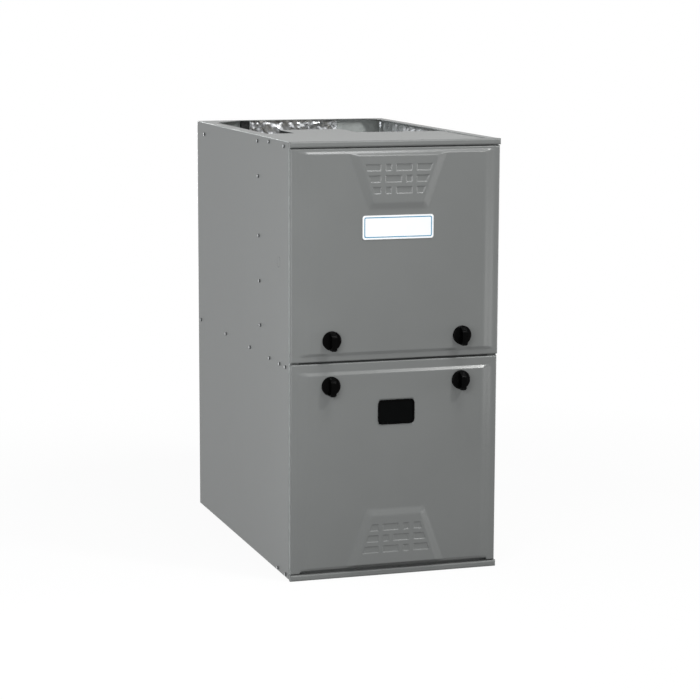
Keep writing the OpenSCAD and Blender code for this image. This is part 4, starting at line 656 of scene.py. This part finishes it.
def smooth_noise(u, v, cell, seed):
    """Creased value noise over a plane, in -1..1."""
    gu, gv = u / cell, v / cell
    iu, iv = np.floor(gu).astype(int), np.floor(gv).astype(int)
    fu, fv = gu - iu, gv - iv
    iu, iv = iu % NOISE_SIZE, iv % NOISE_SIZE
    ju, jv = (iu + 1) % NOISE_SIZE, (iv + 1) % NOISE_SIZE
    table = np.random.default_rng(seed).random((NOISE_SIZE, NOISE_SIZE)) * 2 - 1
    a, b, c, e = table[iu, iv], table[ju, iv], table[iu, jv], table[ju, jv]
    # triangular interpolation leaves flat facets with sharp creases
    one = a + (b - a) * fu + (c - a) * fv
    two = e + (c - e) * (1 - fu) + (b - e) * (1 - fv)
    return np.where(fu + fv < 1, one, two)


def crease_depth(u, v, seed):
    """How deep the sheet is creased at each point, in 0..1; u and v in mm."""
    (big, big_cell), (middle, middle_cell), (small, small_cell) = CREASES
    skew = SKEW * smooth_noise(u, v, SKEW_CELL, seed + 5)
    h = (big * smooth_noise(u + skew, v, big_cell, seed)
         + middle * smooth_noise(u, v + skew, middle_cell, seed + 1)
         + small * smooth_noise(u, v, small_cell, seed + 2))
    return np.clip(h * 0.5 + 0.5, 0, 1)


def foil_sheet(name, origin, du, dv, normal, nu, nv, depth, body, seed, finish=FOIL):
    """A slab whose face is a crinkled sheet of nu by nv cells; its creases sink back from the face.

    The face starts at the origin and runs along du and dv, all in metres; depth is in mm.
    """
    origin, du, dv, normal = Vector(origin), Vector(du), Vector(dv), Vector(normal)
    u, v = np.meshgrid(np.linspace(0, 1, nu + 1), np.linspace(0, 1, nv + 1))
    u_mm, v_mm = u * du.length / MM, v * dv.length / MM
    edge = np.minimum(np.minimum(u, 1 - u) * du.length, np.minimum(v, 1 - v) * dv.length) / MM
    sink = depth * MM * crease_depth(u_mm, v_mm, seed) * np.minimum(1.0, edge / EDGE_RUN + EDGE_SHARE)
    flat = [origin + du * float(a) + dv * float(b) for a, b in zip(u.ravel(), v.ravel())]
    verts = [p - normal * float(s) for p, s in zip(flat, sink.ravel())]
    row = nu + 1
    corners = [j * row + i for j in range(nv) for i in range(nu)]
    faces = [(a, a + 1, a + row + 1, a + row) for a in corners]
    # closed back and edges, so that the slab has its thickness
    rim = ([i for i in range(row)] + [(j + 1) * row - 1 for j in range(1, nv + 1)]
           + [nv * row + i for i in range(nu - 1, -1, -1)] + [j * row for j in range(nv - 1, 0, -1)])
    first, m = len(verts), len(rim)
    verts += [flat[k] - normal * SLAB_T * MM for k in rim]
    faces += [(rim[k], first + k, first + (k + 1) % m, rim[(k + 1) % m]) for k in range(m)]
    faces.append(tuple(first + k for k in range(m))[::-1])
    o = mesh_object(name, verts, faces, finish, body, sharp_angle=24)
    bm = bmesh.new()
    bm.from_mesh(o.data)
    bmesh.ops.recalc_face_normals(bm, faces=bm.faces)
    bm.to_mesh(o.data)
    bm.free()
    return o


low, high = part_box("back_liner")
up = (0, 0, high.z - low.z)
back_foil = foil_sheet("back_foil", tuple(low), (high.x - low.x, 0, 0), up, (0, -1, 0),
                       nu=110, nv=110, depth=9.0, body="cabinet", seed=3)
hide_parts("back_liner")
# a dark strip beside the foil, where the facing stops short: painted shade in the gap there
SHADE_STRIP_W, SHADE_STRIP_GAP = 20.0 * MM, 0.4 * MM
foil_sheet("back_shade_strip", (low.x - SHADE_STRIP_W, low.y, low.z), (SHADE_STRIP_W - SHADE_STRIP_GAP, 0, 0), up, (0, -1, 0),
           nu=8, nv=90, depth=6.0, body="cabinet", seed=41, finish=SHADE_STRIP)
low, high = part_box("side_liners")
SIDE_T = 12.7 * MM
along, up = (0, high.y - low.y, 0), (0, 0, high.z - low.z)
left_foil = foil_sheet("left_foil", (low.x + SIDE_T, low.y, low.z), along, up, (1, 0, 0),
                       nu=150, nv=80, depth=8.0, body="cabinet", seed=11)
right_foil = foil_sheet("right_foil", (high.x - SIDE_T, low.y, low.z), along, up, (-1, 0, 0),
                        nu=150, nv=80, depth=8.0, body="cabinet", seed=23)
right_foil.parent = left_foil
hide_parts("side_liners")


# ---------- floor and world ----------
WHITE_LIGHT = (1, 1, 1, 1)
AMBIENT = 0.115
FLOOR_REACH, FLOOR_Z = 12.0, -0.0005


def light_path_mix(tree, out, camera_like, other):
    """Show one shader to camera, glossy and transmission rays, and the other to the rest."""
    path = add_node(tree, "LightPath")
    last = path.outputs["Is Camera Ray"]
    for kind in ("Is Glossy Ray", "Is Transmission Ray"):
        add = add_node(tree, "Math")
        add.operation = "ADD"
        add.use_clamp = True
        tree.links.new(last, add.inputs[0])
        tree.links.new(path.outputs[kind], add.inputs[1])
        last = add.outputs[0]
    mix = add_node(tree, "MixShader")
    tree.links.new(last, mix.inputs[0])
    tree.links.new(other.outputs[0], mix.inputs[1])
    tree.links.new(camera_like.outputs[0], mix.inputs[2])
    tree.links.new(mix.outputs[0], out.inputs["Surface"])


def white_world():
    """White where it is seen or mirrored, and a low even light on the object."""
    world = bpy.data.worlds.new("studio")
    bpy.context.scene.world = world
    world.use_nodes = True
    tree = world.node_tree
    tree.nodes.clear()
    out = add_node(tree, "OutputWorld")
    white = add_node(tree, "Background", Color=WHITE_LIGHT, Strength=1.0)
    soft = add_node(tree, "Background", Color=(0.97, 0.985, 1.0, 1), Strength=AMBIENT)
    light_path_mix(tree, out, white, soft)


def floor_material():
    """Pale floor: white where it is seen, with the object's shadow kept close around it."""
    finish = bpy.data.materials.new("pale_floor")
    finish.use_nodes = True
    tree = finish.node_tree
    link = tree.links.new
    tree.nodes.clear()
    out = add_node(tree, "OutputMaterial")
    grain = add_node(tree, "TexNoise", Scale=30.0)
    tones = add_tones(tree, grain.outputs["Fac"], (0.36, 0.36, 0.36, 1), (0.38, 0.38, 0.38, 1), FULL_BAND)
    bounce = add_node(tree, "BsdfDiffuse")
    link(tones.outputs["Color"], bounce.inputs["Color"])
    lit = add_node(tree, "BsdfDiffuse", Color=(0.95, 0.95, 0.95, 1))
    white = add_node(tree, "Emission", Color=WHITE_LIGHT, Strength=1.0)
    # the share of plain white grows with the distance from the object
    where = add_node(tree, "TexCoord")
    ball = add_node(tree, "Mapping", Scale=(0.55, 0.55, 0.0))
    link(where.outputs["Object"], ball.inputs["Vector"])
    nearness = add_node(tree, "TexGradient")
    nearness.gradient_type = "SPHERICAL"
    link(ball.outputs["Vector"], nearness.inputs["Vector"])
    share = add_node(tree, "MapRange", From_Min=0.05, From_Max=0.5, To_Min=1.0, To_Max=0.93)
    link(nearness.outputs["Fac"], share.inputs["Value"])
    seen = add_node(tree, "MixShader")
    link(share.outputs["Result"], seen.inputs[0])
    link(lit.outputs[0], seen.inputs[1])
    link(white.outputs[0], seen.inputs[2])
    light_path_mix(tree, out, seen, bounce)
    return finish


white_world()
floor_mesh = bpy.data.meshes.new("floor")
corners = [(FLOOR_REACH * x, FLOOR_REACH * y, FLOOR_Z) for x, y in ((-1, -1), (1, -1), (1, 1), (-1, 1))]
floor_mesh.from_pydata(corners, [], [(0, 1, 2, 3)])
floor_mesh.materials.append(floor_material())
floor = add_object("floor", floor_mesh)


# ---------- lights and camera ----------
def area(name, place, aim, size, power, colour=(1, 1, 1)):
    """A rectangular lamp at a place, turned to a point; metres and watts."""
    data = bpy.data.lights.new(name, "AREA")
    data.shape = "RECTANGLE"
    data.size, data.size_y = size
    data.energy = power
    data.color = colour
    lamp = add_object(name, data)
    lamp.location = place
    lamp.rotation_euler = (Vector(aim) - Vector(place)).to_track_quat("-Z", "Y").to_euler()


COOL = (0.985, 0.99, 1.0)
area("key_right", (1.42, -2.07, 2.78), (0, -0.37, 0.5), (0.4, 0.4), 34, (1.0, 1.0, 0.985))
area("left_side", (-2.9, 0.4, 1.5), (0, 0, 0.5), (1.5, 1.5), 33, (0.95, 0.98, 1.0))
area("front_left", (-1.0, -1.7, 1.1), (-0.1, -0.37, 0.6), (0.8, 0.8), 9.6, COOL)
area("left_low", (-0.8, -1.2, 0.5), (-0.1, -0.37, 0.45), (0.5, 0.6), 3.8, COOL)
area("top_soft", (0.3, -1.1, 2.87), (0, -0.3, 0.8), (0.9, 0.8), 26)
area("right_strip", (1.5, -1.63, 0.3), (0.1, -0.37, 0.5), (0.4, 0.6), 1.8)
area("back_soft", (0, 2.6, 0.9), (0, 0.37, 0.5), (0.4, 0.8), 18)
area("right_edge", (2.2, -0.68, 0.4), (0, -0.38, 0.5), (0.9, 0.9), 12)

# The camera was solved from the photograph's edges: its angles in radians, the shift of the point that it
# looks at from the middle of the cabinet and its distance in metres, and its focal length in pixels.
YAW, PITCH, ROLL = 0.313152431, 0.158110836, 0.00348273152
AIM_RIGHT, AIM_UP = 0.0239619939, -0.0362062655
DISTANCE, FOCAL_PX = 4.9256494, 2259.45447
FRAME_PX, SENSOR = 700.0, 36.0
CABINET_MIDDLE = Vector((0, 0, 0.4445))

forward = Vector((math.sin(YAW) * math.cos(PITCH), math.cos(YAW) * math.cos(PITCH), -math.sin(PITCH)))
level_right = Vector((math.cos(YAW), -math.sin(YAW), 0))
level_up = level_right.cross(forward)
cam_right = level_right * math.cos(ROLL) + level_up * math.sin(ROLL)
cam_up = level_up * math.cos(ROLL) - level_right * math.sin(ROLL)
eye = CABINET_MIDDLE + level_right * AIM_RIGHT + level_up * AIM_UP - forward * DISTANCE
cam_data = bpy.data.cameras.new("photo_camera")
cam_data.sensor_width = SENSOR
cam_data.lens = FOCAL_PX / FRAME_PX * SENSOR
cam = add_object("photo_camera", cam_data)
turn = Matrix((cam_right, cam_up, -forward)).transposed().to_4x4()
cam.matrix_world = Matrix.Translation(eye) @ turn
bpy.context.scene.camera = cam
bpy.context.scene.view_settings.view_transform = "Standard"
